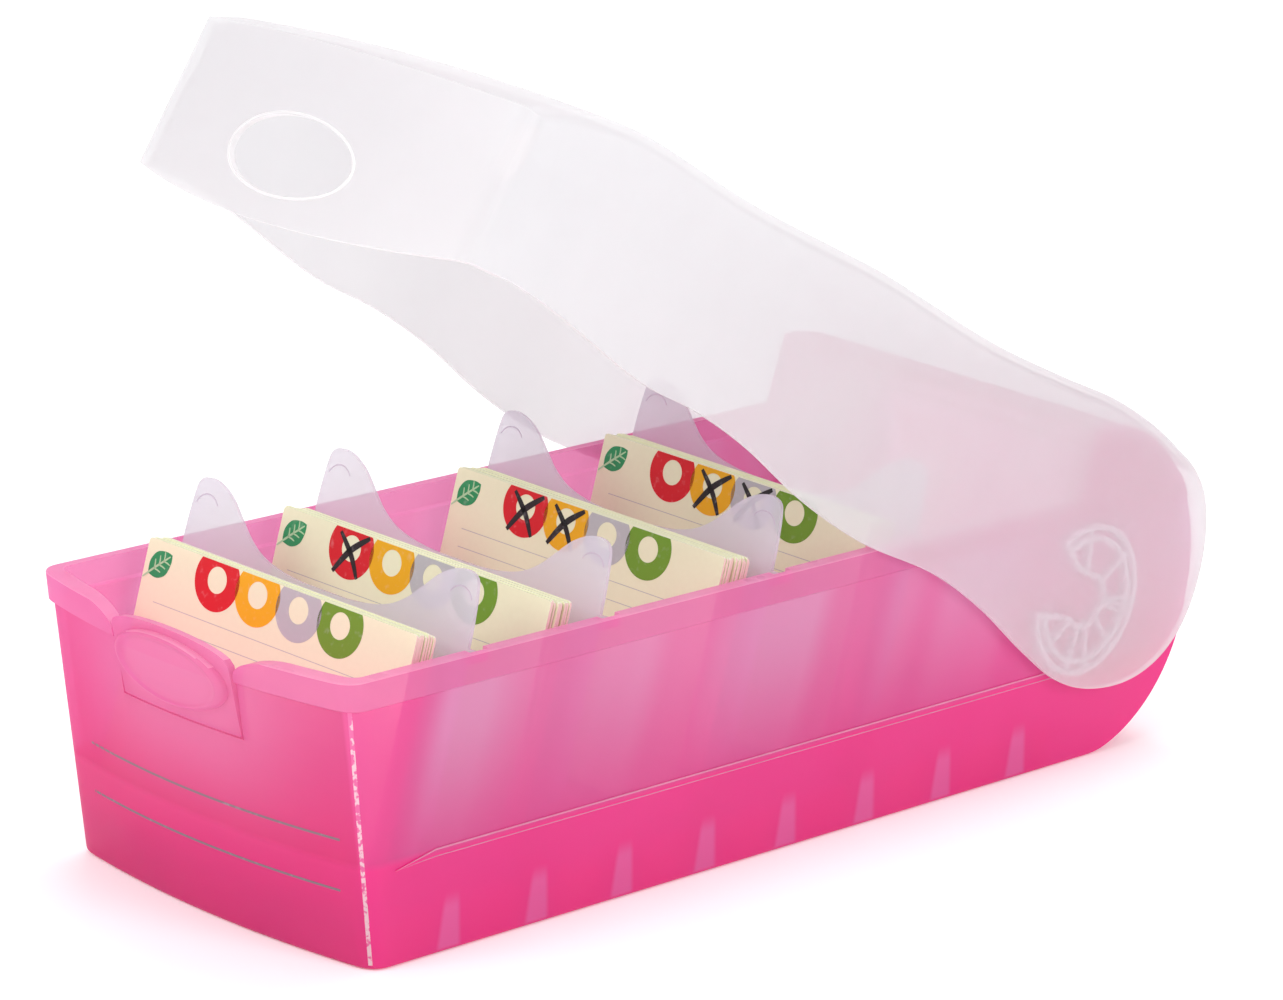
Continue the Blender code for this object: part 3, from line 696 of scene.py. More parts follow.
def tray_block(material):
    """The tray's outside: tapered walls, cut to the side outline with its round rear end."""
    levels = []
    for i in range(6):
        angle = math.radians(18 * i)
        levels.append(tray_level(EDGE_ROUND * (1 - math.cos(angle)) * 0.99 + SKIM * i,
                                 EDGE_ROUND * (1 - math.sin(angle))))
    levels.append(tray_level(COLLAR_BOTTOM - COLLAR_STEP))
    rounded = ((COLLAR_BOTTOM, 0.0), (RIM_HEIGHT - RIM_ROUND, 0.0), (RIM_HEIGHT - 0.3 * RIM_ROUND, 0.12 * MM),
               (RIM_HEIGHT + SKIM, RIM_ROUND))
    for height, inset in rounded:
        levels.append(plan_ring(height, COLLAR_HALF_WIDTH - inset, front_y(height) - COLLAR_FORWARD + inset,
                                bow(height), REAR_END_Y, CORNER_ROUND))
    for height in (RIM_HEIGHT + 0.4 * MM, FAR_Z):
        levels.append(plan_ring(height, HUMP_HALF_WIDTH, FRONT_Y, BOW_AT_RIM, REAR_END_Y, CORNER_ROUND))
    block = loft("tray_shell", levels, material)
    outline = [(FRONT_Y - MARGIN, -1 * MM), (PIVOT_Y - 12 * MM, -1 * MM)]
    outline += rear_curve(REAR_RADIUS, SWELL_ANGLES[0])
    outline += [(HUMP_FOOT_Y, RIM_HEIGHT), (FRONT_Y - MARGIN, RIM_HEIGHT)]
    return combine(block, side_prism("outline", outline, -FAR_X, FAR_X, material), "INTERSECT")


def cavity(material):
    """The open inside of the tray above the card floor."""
    half_widths = [(-5 * MM, DECK_HALF_WIDTH), (DECK_TOP, DECK_HALF_WIDTH),
                   (LEDGE_HEIGHT, body_half_width(LEDGE_HEIGHT) - WALL),
                   (COLLAR_BOTTOM, BODY_HALF_WIDTH - WALL), (FAR_Z + MARGIN, BODY_HALF_WIDTH - WALL)]
    levels = []
    for height, half_width in half_widths:
        low = min(height, RIM_HEIGHT)
        levels.append(plan_ring(height, half_width, front_y(low) + WALL, bow(low),
                                REAR_END_Y, CORNER_ROUND - WALL))
    block = loft("cavity", levels, material)
    radius = REAR_RADIUS - WALL
    step_y = DECK_END_Y + DECK_THICKNESS
    start = -90 - math.degrees(math.asin((PIVOT_Y - step_y) / radius))
    outline = [(FRONT_Y - MARGIN, DECK_TOP), (step_y, DECK_TOP)]
    outline += rear_curve(radius, start)
    outline += [(outline[-1][0], FAR_Z), (FRONT_Y - MARGIN, FAR_Z)]
    return combine(block, side_prism("outline", outline, -FAR_X, FAR_X, material), "INTERSECT")


def feet_centres():
    """Y of each foot along a side wall."""
    return [FOOT_FIRST_Y + i * FOOT_PITCH for i in range(FEET_PER_SIDE)]


def foot_blocks(name, width, from_wall, depth, low, high, material):
    """One block for each foot along both side walls, and two at the front wall."""
    pieces = []
    for y in feet_centres():
        for side in (-1, 1):
            x_low, x_high = span(side, SKIRT_INNER_HALF_WIDTH - from_wall, SKIRT_INNER_HALF_WIDTH - depth)
            pieces.append(box("foot", (x_low, y - width / 2, low), (x_high, y + width / 2, high), material))
    for side in (-1, 1):
        x = side * FRONT_FOOT_X
        wall_y = front_y(0) + WALL - bow(0) * (1 - (x / BASE_HALF_WIDTH) ** 2)
        pieces.append(box("foot", (x - width / 2, wall_y + from_wall, low),
                          (x + width / 2, wall_y + depth, high), material))
    return join(name, pieces)


def hollow_below_deck(material):
    """The open space under the card floor, less the feet that stand in it."""
    top = DECK_TOP - DECK_THICKNESS
    levels = [plan_ring(h, SKIRT_INNER_HALF_WIDTH, front_y(0) + WALL, bow(0),
                        REAR_END_Y, CORNER_ROUND - WALL) for h in (-3 * MM, top)]
    block = loft("hollow", levels, material)
    behind = box("behind", (-FAR_X, DECK_END_Y, -MARGIN), (FAR_X, REAR_END_Y + MARGIN, MARGIN), material)
    combine(block, behind, "DIFFERENCE")
    blocks = foot_blocks("feet", FOOT_WIDTH, -3 * MM, FOOT_DEPTH, -5 * MM, DECK_TOP, material)
    return combine(block, blocks, "DIFFERENCE")


def latch_window(edge):
    """The cut in the front rim: a lobe falling to a slit on each side of the tongue."""
    slit_x = TONGUE_HALF_WIDTH + SLIT
    lobe = []
    for i in range(25):
        angle = math.radians(90 * i / 24)
        x = slit_x + (LOBE_START - slit_x) * (1 - math.cos(angle))
        z = NOTCH_BOTTOM + (RIM_HEIGHT - NOTCH_BOTTOM) * math.sin(angle)
        lobe.append((x, z))
    right = [(slit_x, TONGUE_ROOT - ROOT_GAP)] + lobe + [(LOBE_START, RIM_HEIGHT + 8 * MM)]
    left = [(-x, z) for x, z in reversed(right)]
    return front_prism("window", right + left, FRONT_Y - MARGIN, FRONT_Y + MARGIN / 2, edge)


def rim_notches(edge):
    """A pair of seats in the rim for each divider's lugs."""
    pieces = []
    for stack in range(len(STACK_COUNTS)):
        low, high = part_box(f"divider_{stack + 1}")
        rise = (RIM_HEIGHT - low.z) * math.tan(CARD_LEAN)
        y = low.y + rise + DIVIDER_THICKNESS / 2
        for side in (-1, 1):
            x_low, x_high = span(side, BODY_HALF_WIDTH - WALL - MM, high.x + 0.3 * MM)
            pieces.append(box("notch", (x_low, y - NOTCH_DEPTH, RIM_HEIGHT - NOTCH_DEPTH),
                              (x_high, y + NOTCH_DEPTH, RIM_HEIGHT + 5 * MM), edge))
    return join("notches", pieces)


def peg(side, material):
    points = arc((PIVOT_Y, PIVOT_Z), PEG_RADIUS, 0, 360, 48)[:-1]
    x_low, x_high = span(side, BODY_HALF_WIDTH - WALL, PEG_END)
    return side_prism("peg", points, x_low, x_high, material)


def ledge(side, band, line):
    """The low step along a side wall: a band with a thin raised line above and a finer one below."""
    start, knee, end = FRONT_Y + 14.7 * MM, FRONT_Y + 25 * MM, PIVOT_Y - 4 * MM
    tip = LEDGE_HEIGHT - 2.3 * MM
    pieces = []
    # the raised lines take the edge plastic with its painted highlight
    for top, bottom, proud, material in ((0.0, 1.6 * MM, 0.5, band), (0.0, 0.34 * MM, 1.0, line),
                                         (1.5 * MM, 1.68 * MM, 0.7, line)):
        high, low = LEDGE_HEIGHT - top, LEDGE_HEIGHT - bottom
        outline = [(start, tip), (knee, low), (end, low), (end, high), (knee, high)]
        wall = body_half_width(LEDGE_HEIGHT)
        x_low, x_high = span(side, wall - 0.5 * MM, wall + proud * LEDGE_PROUD)
        pieces.append(side_prism("ledge", outline, x_low, x_high, material))
    return pieces


def build_tray(plastic, inner, edge, corner):
    tray = tray_block(plastic)
    wells = foot_blocks("wells", FOOT_WIDTH - 2 * FOOT_WALL, 0.0, FOOT_DEPTH - FOOT_WALL,
                        FOOT_SOLE, DECK_TOP + 0.8 * MM, plastic)
    for cutter in (cavity(inner), hollow_below_deck(plastic), wells, latch_window(plastic),
                   rim_notches(edge)):
        combine(tray, cutter, "DIFFERENCE")
    for side in (-1, 1):
        combine(tray, peg(side, plastic), "UNION")
        for piece in ledge(side, plastic, edge):
            combine(tray, piece, "UNION")
    polish(tray)
    mark_edges(tray, edge, corner)
    place(tray, "tray", "tray_plastic", "tray")


def mark_edges(tray, edge, corner):
    """Paints highlights: the paler edge plastic on the rim's flat top, and pale specks on the front corners.
    """
    tray.data.materials.append(corner)
    for face in tray.data.polygons:
        x, y, z = face.center
        # rim faces take the edge plastic with its painted highlight
        flat_rim = RIM_HEIGHT - 0.35 * MM < z < RIM_HEIGHT + SKIM
        lobe_rim = NOTCH_BOTTOM - SKIM < z < RIM_HEIGHT and face.normal.z > 0.25 and y < FRONT_Y
        if flat_rim or lobe_rim:
            face.material_index = list(tray.data.materials).index(edge)
        # front corner faces take the corner plastic with its painted highlight
        outer = abs(x) > BASE_HALF_WIDTH - 3 * MM and abs(face.normal.z) < 0.3 and z < COLLAR_BOTTOM
        turned = 0.66 < abs(face.normal.x) < 0.80 and face.normal.y < -0.3 and face.normal.x * x > 0
        if outer and turned and y < FRONT_Y + 16 * MM:
            face.material_index = list(tray.data.materials).index(corner)


def front_strip(z, middle, material):
    """A printed line that follows the bowed front wall."""
    width = WRITING_LINE_WIDTH
    rings = []
    for i in range(41):
        x = middle + mix(-WRITING_LINE_HALF_LENGTH, WRITING_LINE_HALF_LENGTH, i / 40)
        ring = []
        low, high = z - width / 2, z + width / 2
        for height, rise in ((low, 0), (low, 1), (high, 1), (high, 0)):
            y = front_wall_y(x, height) + PRINT_RELIEF / 2 - rise * PRINT_THICKNESS
            ring.append((x, y, height))
        rings.append(ring)
    return loft("line", rings, material)


def build_writing_lines(grey):
    """The two plain lines printed low on the front for a label."""
    lines = [front_strip(z, x, grey) for z, x in WRITING_LINES]
    piece = polish(join("writing_lines", lines))
    place(piece, "tray", "tray_plastic")


# ---- latch tongue


def tongue_surface(x, height):
    """Outer face of the tongue, leaning forward of the front wall towards its top."""
    rise = max(0.0, (height - TONGUE_ROOT) / (TONGUE_TOP - TONGUE_ROOT))
    return front_wall_y(x, height) - TONGUE_LEAN * rise


def build_tongue(plastic, inner, edge):
    """The springy strip of the front wall with its oval thumb pad."""
    columns, rows = 40, 10
    outer_side, inner_side = [], []
    for i in range(columns + 1):
        x = mix(-TONGUE_HALF_WIDTH, TONGUE_HALF_WIDTH, i / columns)
        share = math.sqrt(max(0.0, 1 - (x / TONGUE_HALF_WIDTH) ** 2))
        top = TONGUE_SHOULDER + (TONGUE_TOP - TONGUE_SHOULDER) * share
        heights = [mix(TONGUE_ROOT + 2 * SKIM, top, k / rows) for k in range(rows + 1)]
        outer_side.append([(x, tongue_surface(x, z), z) for z in heights])
        inner_side.append([(x, tongue_surface(x, z) + WALL, z) for z in heights])
    rings = [front + list(reversed(back)) for front, back in zip(outer_side, inner_side)]
    tongue = loft("latch_tongue_shell", rings, plastic)
    combine(tongue, latch_pad(plastic), "UNION")
    polish(tongue)
    tongue.data.materials.append(inner)
    tongue.data.materials.append(edge)
    for face in tongue.data.polygons:
        if face.normal.y > 0.7:
            face.material_index = 1
        # the tongue's top faces take the edge plastic with its painted highlight
        if face.normal.z > 0.7 and face.center.z > TONGUE_SHOULDER - MM:
            face.material_index = 2
    place(tongue, "latch", "tray_plastic", "latch_tongue")


def latch_pad(material):
    """The raised oval thumb pad: rings of ellipses from inside the wall to a shallow dish."""
    profile = ((1.0, -0.8), (1.0, 0.9), (0.99, 1.25), (0.97, 1.55), (0.945, 1.75), (0.92, 1.88),
               (0.90, 1.9), (0.875, 1.8), (0.85, 1.62), (0.80, 1.45), (0.70, 1.3), (0.4, 1.2))
    rings = []
    for scale, rise in profile:
        oval = ellipse(PAD_HALF_LENGTH * scale, PAD_HALF_HEIGHT * scale, PAD_CENTRE_Z, 96)
        rings.append([(x, tongue_surface(x, z) - rise * MM, z) for x, z in oval])
    return loft("pad", rings, material)


# ---- lid


def lid_top_line():
    """The wavy top of the lid seen from the side, front to rear."""
    points = [(0.0, 75.0), (7.0, 77.4), (17.0, 79.2), (34.0, 80.3), (67.0, 78.2), (97.0, 78.1),
              (114.0, 78.0), (151.0, 75.9), (180.0, 76.5), (196.0, 77.3), (212.0, 76.2), (227.0, 73.2)]
    return [(FRONT_Y + y * MM, z * MM) for y, z in points]


def lid_lower_line():
    """The lower edge of a side wall, from the front round the ear to the top panel's rear edge."""
    points = [(-4.0, 44.5), (12.0, 44.4), (27.0, 42.6), (53.0, 38.2), (72.0, 37.6), (90.0, 35.4),
              (112.0, 30.6), (134.0, 28.2), (158.0, 28.6), (177.0, 26.2), (195.0, 21.8),
              (210.0, 19.2), (222.0, 20.9), (233.0, 26.0), (240.5, 34.0), (243.3, 44.0),
              (241.5, 56.0), (236.0, 66.0), (227.0, 73.2)]
    return [(FRONT_Y + y * MM, z * MM) for y, z in points]


def lid_front_y(height):
    low, high = LID_FRONT_BOTTOM, LID_FRONT_TOP
    return mix(low[0], high[0], (height - low[1]) / (high[1] - low[1]))


def lid_plan(inset, material):
    """The lid's walls as a tall block, before it is cut to its side outline."""
    levels = [plan_ring(height, LID_HALF_WIDTH - inset, lid_front_y(height) + inset, LID_BOW,
                        REAR_END_Y, CORNER_ROUND - inset) for height in (5 * MM, FAR_Z)]
    return loft("lid_shell", levels, material)


def top_section(y, z, inset):
    """Half-round shoulders and a slight crown: the lid's upper outline across the box."""
    half_width = LID_HALF_WIDTH + 10 * MM
    shoulder = LID_FILLET - inset
    flat = LID_HALF_WIDTH - inset - shoulder
    points = [(-half_width, y, z - shoulder), (-LID_HALF_WIDTH + inset, y, z - shoulder)]
    for k in range(1, 9):
        a = math.radians(90 * k / 8)
        points.append((-flat - shoulder * math.cos(a), y, z - shoulder + shoulder * math.sin(a)))
    for k in (-0.9, -0.75, -0.6, -0.45, -0.3, -0.15):
        points.append((k * flat, y, z + LID_CROWN * (1 - k * k)))
    points += [(-x, py, pz) for x, py, pz in reversed(points)]
    return points


def lid_cover(inset, material):
    """Everything below the lid's top surface, with rounded shoulders."""
    low = -10 * MM
    curve = spline(lid_top_line(), 8)
    first = curve[0]
    stations = [(FRONT_Y - 40 * MM, first[1] - 3 * MM), (first[0] - 12 * MM, first[1] - 2.4 * MM)]
    stations += curve
    stations += [(curve[-1][0] + MARGIN, curve[-1][1] - 0.3 * MARGIN)]
    rings = []
    for y, z in stations:
        section = top_section(y, z - inset, inset)
        rings.append([(section[0][0], y, low)] + section + [(section[-1][0], y, low)])
    return loft("cover", rings, material)


def front_dip(edge):
    """Cuts the front face's lower edge to a shallow arc that dips in the middle."""
    bottom = LID_FRONT_BOTTOM[1]
    side = LID_HALF_WIDTH + 5 * MM
    arch = []
    for i in range(41):
        x = mix(-LID_HALF_WIDTH, LID_HALF_WIDTH, i / 40)
        arch.append((x, bottom - LID_EDGE_DIP * (1 - (x / LID_HALF_WIDTH) ** 2)))
    outline = [(-side, -20 * MM), (-side, bottom)] + arch + [(side, bottom), (side, -20 * MM)]
    return front_prism("dip", outline, FRONT_Y - 40 * MM, FRONT_Y + FRONT_SEAM, edge)


def lid_outline_cut(edge):
    """The space below and behind the lid's side outline, as one cutter."""
    seam = FRONT_Y + FRONT_SEAM - 0.1 * MM
    lower = [p for p in spline(lid_lower_line(), 8) if p[0] > seam]
    far_y = REAR_END_Y + MARGIN
    far_z = FAR_Z + MARGIN
    outline = [(seam, lower[0][1])] + lower
    outline += [(lower[-1][0], far_z), (far_y, far_z), (far_y, -MARGIN), (seam, -MARGIN)]
    return side_prism("outside", outline, -FAR_X, FAR_X, edge)


def lid_front_point(x, height, proud=0.0):
    return (x, lid_front_y(height) - LID_BOW * (1 - (x / LID_HALF_WIDTH) ** 2) - proud, height)


def hole_rim(material):
    """The raised bead round the latch hole."""
    rings = []
    steps = 96
    for i in range(steps):
        angle = 2 * math.pi * i / steps
        ring = []
        for k in range(8):
            turn = 2 * math.pi * k / 8
            out = 0.35 * MM + 0.3 * MM * math.cos(turn)
            proud = 0.25 * MM * math.sin(turn)
            x = (HOLE_HALF_LENGTH + out) * math.cos(angle)
            z = HOLE_CENTRE_Z + (HOLE_HALF_HEIGHT + out) * math.sin(angle)
            ring.append(lid_front_point(x, z, proud))
        rings.append(ring)
    verts = [p for ring in rings for p in ring]
    faces = []
    for i in range(steps):
        j = (i + 1) % steps
        for k in range(8):
            m = (k + 1) % 8
            faces.append((i * 8 + k, i * 8 + m, j * 8 + m, j * 8 + k))
    return make_object("hole_rim", verts, faces, material)


def ribbon(name, curve, width, x_low, x_high, material):
    """A wall of even width that follows a (y, z) curve, drawn along X."""
    outline = thick_line(curve, [width / 2] * len(curve))
    return side_prism(name, outline, x_low, x_high, material)


def ring_mouth_curve():
    """The funnel that leads the peg in, as (angle, radius): from one tip round the socket to the other."""
    points = [(146, 16.0), (144, 12.4), (140, 8.6), (120, 5.9), (70, 5.6), (20, 5.6), (-40, 5.6),
              (-90, 5.7), (-125, 6.4), (-140, 8.6), (-146, 11.5), (-151, 14.5), (-153, 16.0)]
    polar = [(math.radians(a), r * MM) for a, r in points]
    return spline([(PIVOT_Y + r * math.cos(a), PIVOT_Z + r * math.sin(a)) for a, r in polar], 6)


def build_clip_ring(side, name, material):
    """The open ring on the inside of an ear that snaps over the tray's peg, let into the ear's wall."""
    centre = (PIVOT_Y, PIVOT_Z)
    x_low, x_high = span(side, RING_FACE, LID_HALF_WIDTH - RING_COVER)
    ring = ribbon(name, ring_mouth_curve(), RING_WALL, x_low, x_high, material)
    pieces = []
    for radius in (RING_OUTER - RING_WALL / 2, RING_OUTER - 3.1 * MM):
        curve = arc(centre, radius, RING_MOUTH[0], RING_MOUTH[1] - 360, 64)
        pieces.append(ribbon("ring", curve, RING_WALL, x_low, x_high, material))
    for angle in RING_RIBS:
        spoke = [arc(centre, r, angle, angle, 1)[0] for r in (RING_INNER + WELD, RING_OUTER - WELD)]
        pieces.append(ribbon("rib", spoke, 0.8 * MM, x_low, x_high, material))
    for piece in pieces:
        combine(ring, piece, "UNION")
    polish(ring)
    swing_open(ring)
    place(ring, "lid", "lid_plastic")


def corner_gusset(side, material):
    """The stiffening web inside a front upper corner of the lid."""
    rings = []
    for height, reach in ((72.3 * MM, 4.2 * MM), (66.0 * MM, 3.4 * MM), (60.7 * MM, 2.2 * MM)):
        x_outer = side * (LID_HALF_WIDTH - 1.1 * MM)
        x_inner = side * (LID_HALF_WIDTH - 1.1 * MM - reach)
        y = lid_front_y(height) + 0.8 * MM
        rings.append([(x_outer, y, height), (x_outer, y + reach, height), (x_inner, y - 0.6 * MM, height)])
    return loft("gusset", rings, material)


def swing_open(obj):
    """Turns a piece built with the lid closed to the lid's half-open rest position."""
    pivot = Vector((0.0, PIVOT_Y, PIVOT_Z))
    turn = Matrix.Rotation(-math.radians(LID_OPEN_ANGLE), 4, "X")
    obj.data.transform(Matrix.Translation(pivot) @ turn @ Matrix.Translation(-pivot))
    return obj


def build_lid(plastic, edge):
    """The lid as a shell: outside less inside, then cut to its outline and given its hole."""
    lid = combine(lid_plan(0.0, plastic), lid_cover(0.0, plastic), "INTERSECT")
    inside = combine(lid_plan(LID_WALL, plastic), lid_cover(LID_WALL, plastic), "INTERSECT")
    hole = front_prism("hole", ellipse(HOLE_HALF_LENGTH, HOLE_HALF_HEIGHT, HOLE_CENTRE_Z, 80),
                       FRONT_Y - MARGIN, FRONT_Y + 5 * MM, edge)
    for cutter in (inside, lid_outline_cut(edge), front_dip(edge), hole):
        combine(lid, cutter, "DIFFERENCE")
    combine(lid, hole_rim(edge), "UNION")
    for side in (-1, 1):
        combine(lid, corner_gusset(side, edge), "UNION")
    polish(lid)
    swing_open(lid)
    place(lid, "lid", "lid_plastic", "lid")


# ---- cards and dividers


def leaning(node_name, height):
    """Matrix of a sheet that leans back, from its own x, depth and height to the frame."""
    low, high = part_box(node_name)
    foot = Vector((0.0, low.y, high.z - height * math.cos(CARD_LEAN)))
    return Matrix.Translation(foot) @ Matrix.Rotation(-CARD_LEAN, 4, "X")


def sheet(name, depth, shift, turn, materials):
    """One card with softened corners; its cut edges take their own tints."""
    face_paper, top_edge, side_edge = materials
    side, low, high = CARD_WIDTH / 2 - CARD_CORNER, CARD_CORNER, CARD_HEIGHT - CARD_CORNER
    outline = []
    for corner, start in (((side, low), -90), ((side, high), 0), ((-side, high), 90), ((-side, low), 180)):
        outline += arc(corner, CARD_CORNER, start, start + 90, 4)
    card = front_prism(name, outline, depth, depth + SHEET_THICKNESS, face_paper)
    card.data.materials.append(top_edge)
    card.data.materials.append(side_edge)
    for face in card.data.polygons:
        if abs(face.normal.y) < 0.5:
            face.material_index = 2 if abs(face.normal.x) > 0.6 else 1
    card.data.transform(Matrix.Translation(shift) @ Matrix.Rotation(turn, 4, "Y"))
    return card


def annulus(x, z, top, material):
    """A flat printed ring, cut off by the card's top edge."""
    circle = arc((x, z), PRINT_RING_OUTER, 0, 360, 72)[:-1]
    ring = front_prism("ring", circle, -PRINT_THICKNESS, 0.0, material)
    bore = front_prism("bore", arc((x, z), PRINT_RING_INNER, 0, 360, 40)[:-1], -MM, MM, material)
    combine(ring, bore, "DIFFERENCE")
    trim = box("trim", (x - 20 * MM, -MM, top), (x + 20 * MM, MM, top + 20 * MM), material)
    return combine(ring, trim, "DIFFERENCE")


def pen_stroke(points, width, material):
    """A hand-drawn stroke: a smooth line that thins towards its ends."""
    curve = spline(points, 8)
    last = len(curve) - 1
    halves = [width * (0.35 + 0.65 * math.sin(math.pi * (0.12 + 0.76 * i / last))) / 2
              for i in range(last + 1)]
    return front_prism("stroke", thick_line(curve, halves),
                       -2 * PRINT_THICKNESS, -PRINT_THICKNESS / 2, material)


def cross(x, z, material):
    """Two pen strokes over a printed ring."""
    first = [(x - 3.8 * MM, z - 4.6 * MM), (x - 0.2 * MM, z + 0.3 * MM), (x + 4.4 * MM, z + 3.9 * MM)]
    second = [(x - 3.6 * MM, z + 3.4 * MM), (x + 0.4 * MM, z - 0.6 * MM), (x + 3.0 * MM, z - 4.6 * MM)]
    return [pen_stroke(first, 1.35 * MM, material), pen_stroke(second, 1.2 * MM, material)]


def leaf(x, z, size, green, vein):
    """A plain leaf with a pale midrib and side veins."""
    upper = [(0.0, 0.0), (0.22, 0.26), (0.55, 0.34), (0.85, 0.18), (1.0, 0.0)]
    lower = [(u, -v) for u, v in reversed(upper[1:-1])]
    outline = spline(upper, 6) + spline([upper[-1]] + lower + [upper[0]], 6)[1:-1]
    tilt = math.radians(40)

    def turned(u, v):
        return (x + size * (u * math.cos(tilt) - v * math.sin(tilt)),
                z + size * (u * math.sin(tilt) + v * math.cos(tilt)))

    pieces = [front_prism("blade", [turned(u, v) for u, v in outline], -PRINT_THICKNESS, 0.0, green)]
    pieces.append(pen_stroke([turned(-0.22, 0.0), turned(0.3, 0.01), turned(0.92, 0.0)], 0.45 * MM, vein))
    for u in (0.25, 0.45, 0.65):
        for side in (-1, 1):
            end = turned(u + 0.16, side * 0.2)
            pieces.append(pen_stroke([turned(u, 0.0), turned(u + 0.09, side * 0.09), end], 0.3 * MM, vein))
    return pieces


def card_print(name, crossed, inks):
    """What is printed on a card's face: four rings, ruled lines, a leaf and any crossed-off rings."""
    top = CARD_HEIGHT
    left = -CARD_WIDTH / 2
    pieces = []
    ring_z = top - 3.5 * MM
    rule_start, rule_end = left + RULE_MARGIN, left + CARD_WIDTH - 4 * MM
    for index, colour in enumerate(("red", "yellow", "grey", "green")):
        x = left + PRINT_RING_FIRST + PRINT_RING_PITCH * index
        pieces.append(annulus(x, ring_z, top - 0.05 * MM, inks[colour]))
        if index in crossed:
            pieces += cross(x, ring_z - 0.8 * MM, inks["black"])
    for row in range(RULE_COUNT):
        z = top - RULE_FIRST - RULE_PITCH * row
        line = [(rule_start, z), (rule_end, z), (rule_end, z + RULE_WIDTH), (rule_start, z + RULE_WIDTH)]
        pieces.append(front_prism("rule", line, -PRINT_THICKNESS / 2, 0.0, inks["rule"]))
    pieces += leaf(left + 1.4 * MM, top - 6.8 * MM, LEAF_SIZE, inks["leaf"], inks["vein"])
    return join(name, pieces)


def build_stack(index, materials, inks, draw):
    """A front card, the rest of the stack behind it, and the print on the two foremost cards."""
    first = f"card_{index + 1}_01"
    frame_of_stack = leaning(first, CARD_HEIGHT)
    crossed = ((), (0,), (0, 1), (1, 2))[index]
    front = sheet(f"front_card_{index + 1}_sheet", 0.0, Vector(), 0.0, materials)
    front.data.transform(frame_of_stack)
    polish(front)
    place(front, f"front_card_{index + 1}", "card_stock", first)
    sheets = []
    for k in range(1, STACK_COUNTS[index]):
        shift = Vector((draw.uniform(-0.35, 0.35) * MM, 0.0, draw.uniform(-0.25, 0.3) * MM))
        turn = math.radians(draw.uniform(-0.15, 0.15))
        sheets.append(sheet("sheet", k * CARD_PITCH, shift, turn, materials))
    rest = join(f"card_stack_{index + 1}_sheets", sheets)
    rest.data.transform(frame_of_stack)
    polish(rest)
    nodes = [f"card_{index + 1}_{k + 1:02d}" for k in range(1, STACK_COUNTS[index])]
    place(rest, f"card_stack_{index + 1}", "card_stock", *nodes)
    for body, depth in ((f"front_card_{index + 1}", 0.0), (f"card_stack_{index + 1}", CARD_PITCH)):
        printed = card_print(f"{body}_print", crossed, inks)
        printed.data.transform(frame_of_stack @ Matrix.Translation((0, depth - PRINT_RELIEF / 2, 0)))
        polish(printed)
        place(printed, body, "card_stock")


def divider_half_outline():
    """Half of a divider as (x, height) points, from the foot's middle to the valley's middle."""
    foot, width, lug = 37.2 * MM, 39.8 * MM, 41.9 * MM
    tab = [(39.6, 47.9), (39.4, 53.0), (38.8, 59.0), (37.9, 61.2), (35.8, 62.0), (32.6, 61.6),
           (28.8, 59.6), (25.2, 56.3), (21.8, 53.2), (17.6, 50.8), (12.0, 49.4), (6.0, 48.8)]
    half = [(foot, 0.0), (foot, 9.6 * MM), (width, 13.0 * MM), (width, 46.4 * MM),
            (lug, 46.4 * MM), (lug, 48.0 * MM)]
    return half + spline([(x * MM, z * MM) for x, z in tab], 8)


def bead(points, depth, radius, material):
    """A low raised line along a divider's face."""
    rings = []
    for (x, z), across in zip(points, normals(points)):
        ring = []
        for k in range(5):
            a = math.pi * k / 4
            out = radius * math.cos(a)
            ring.append((x + across.x * out, depth - radius * 0.7 * math.sin(a), z + across.y * out))
        rings.append(ring)
    return loft("bead", rings, material)


def build_divider(index, plastic, edge):
    """A thin sheet with two horn-shaped tabs, each with a small raised arc."""
    name = f"divider_{index + 1}"
    half = divider_half_outline()
    outline = half + [(-x, z) for x, z in reversed(half)]
    divider = front_prism(f"{name}_panel", outline, 0.0, DIVIDER_THICKNESS, plastic)
    divider.data.materials.append(edge)
    for face in divider.data.polygons:
        if abs(face.normal.y) < 0.5:
            face.material_index = 1
    pieces = [divider]
    for side in (-1, 1):
        arc_points = [(side * x, z) for x, z in arc((35.0 * MM, 55.6 * MM), 3.2 * MM, 20, 150, 16)]
        pieces.append(bead(arc_points, SKIM, 0.14 * MM, edge))
    piece = join(f"{name}_panel", pieces)
    piece.name = f"{name}_panel"
    piece.data.transform(leaning(name, DIVIDER_HEIGHT))
    polish(piece)
    place(piece, name, "divider_plastic", name)


# ---- floor and assembly


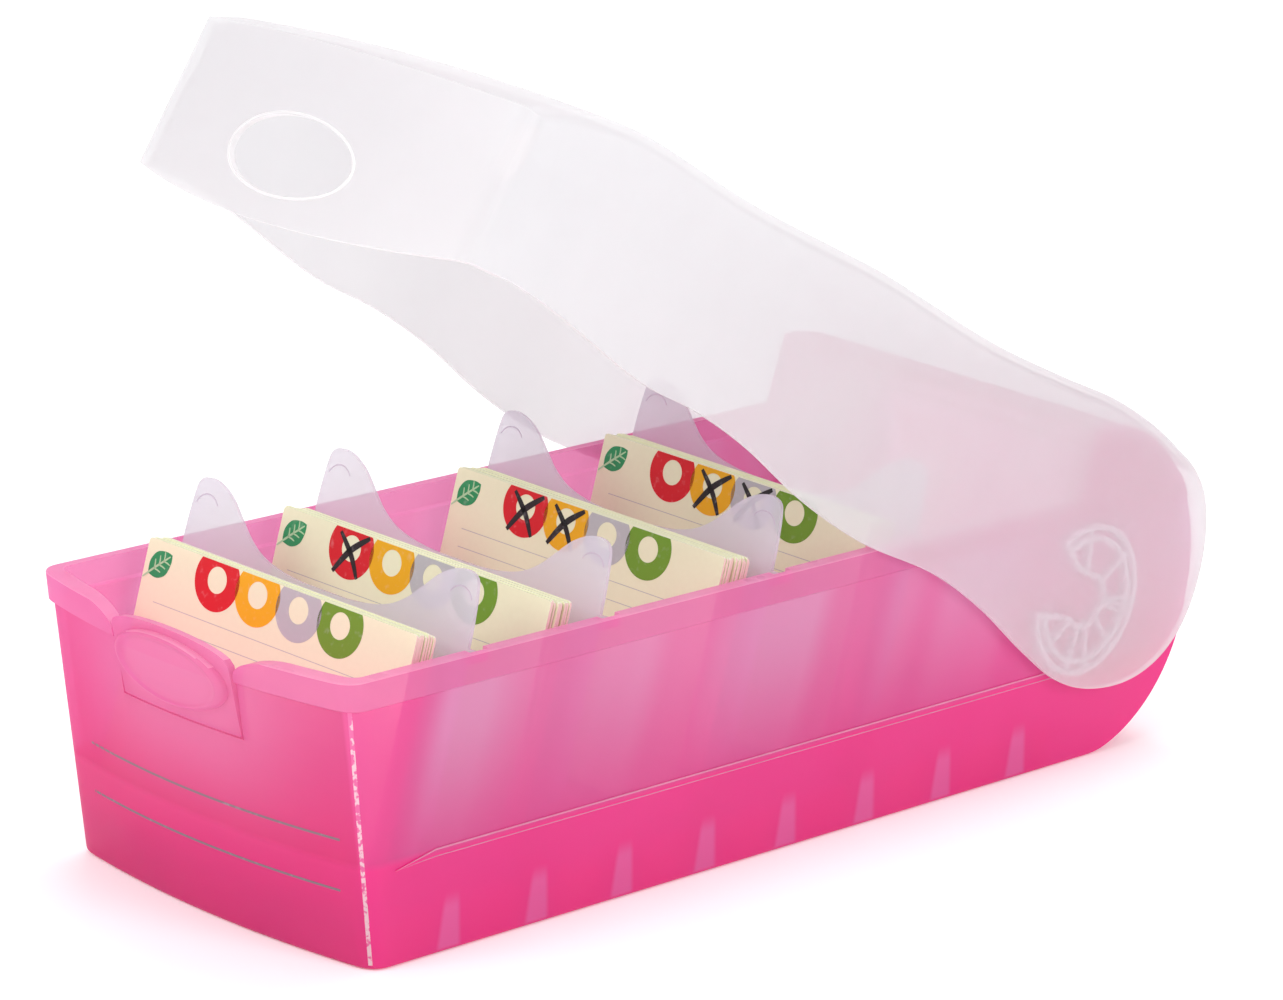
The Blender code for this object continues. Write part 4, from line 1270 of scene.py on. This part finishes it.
def build_floor():
    """A wide table top under the box."""
    verts = [(-4, -4, 0), (4, -4, 0), (4, 4, 0), (-4, 4, 0)]
    floor = make_object("studio_floor", verts, [(0, 1, 2, 3)], floor_material())


def main():
    make_camera()
    make_light()
    build_floor()
    pink = tray_plastic()
    pink_edge_highlight = tray_edge_plastic()
    pink_inner = tray_inner_plastic()
    build_tray(pink, pink_inner, pink_edge_highlight, tray_corner_plastic())
    build_tongue(pink, pink_inner, pink_edge_highlight)
    build_writing_lines(ink("writing_line_grey", (0.20, 0.14, 0.17)))
    milky = milky_plastic("lid_plastic", (0.895, 0.90, 0.915), 0.56, 0.32)
    # lid edges: denser, as the plastic is seen through its depth, and whiter as a painted highlight
    milky_edge_highlight = milky_plastic("lid_edge_plastic", (0.97, 0.965, 0.97), 0.85, 0.25)
    build_lid(milky, milky_edge_highlight)
    clip = milky_plastic("lid_clip_plastic", (0.97, 0.90, 0.94), 0.6, 0.3)
    for side, name in ((-1, "lid_clip_left"), (1, "lid_clip_right")):
        build_clip_ring(side, name, clip)
    lilac = milky_plastic("divider_plastic", (0.85, 0.84, 0.92), 0.55, 0.35)
    lilac_edge = milky_plastic("divider_edge_plastic", (0.80, 0.71, 0.82), 0.6, 0.3)
    card = paper("card_face", (0.90, 0.91, 0.64), (0.88, 0.89, 0.61))
    top_edge = paper("card_top_edge", (0.87, 0.86, 0.66), (0.71, 0.69, 0.55))
    side_edge = paper("card_side_edge", (0.84, 0.62, 0.55), (0.72, 0.46, 0.48))
    inks = {
        "red": ink("print_red", (0.68, 0.005, 0.012)),
        "yellow": ink("print_yellow", (0.86, 0.43, 0.0)),
        "grey": ink("print_grey", (0.50, 0.50, 0.51)),
        "green": ink("print_green", (0.16, 0.33, 0.02)),
        "rule": ink("print_rule", (0.52, 0.53, 0.50)),
        "black": ink("pen_black", (0.012, 0.012, 0.012)),
        "leaf": ink("print_leaf", (0.02, 0.30, 0.10)),
        "vein": ink("print_vein", (0.45, 0.70, 0.40)),
    }
    draw = random.Random(7)
    for index in range(len(STACK_COUNTS)):
        build_stack(index, (card, top_edge, side_edge), inks, draw)
        build_divider(index, lilac, lilac_edge)


main()
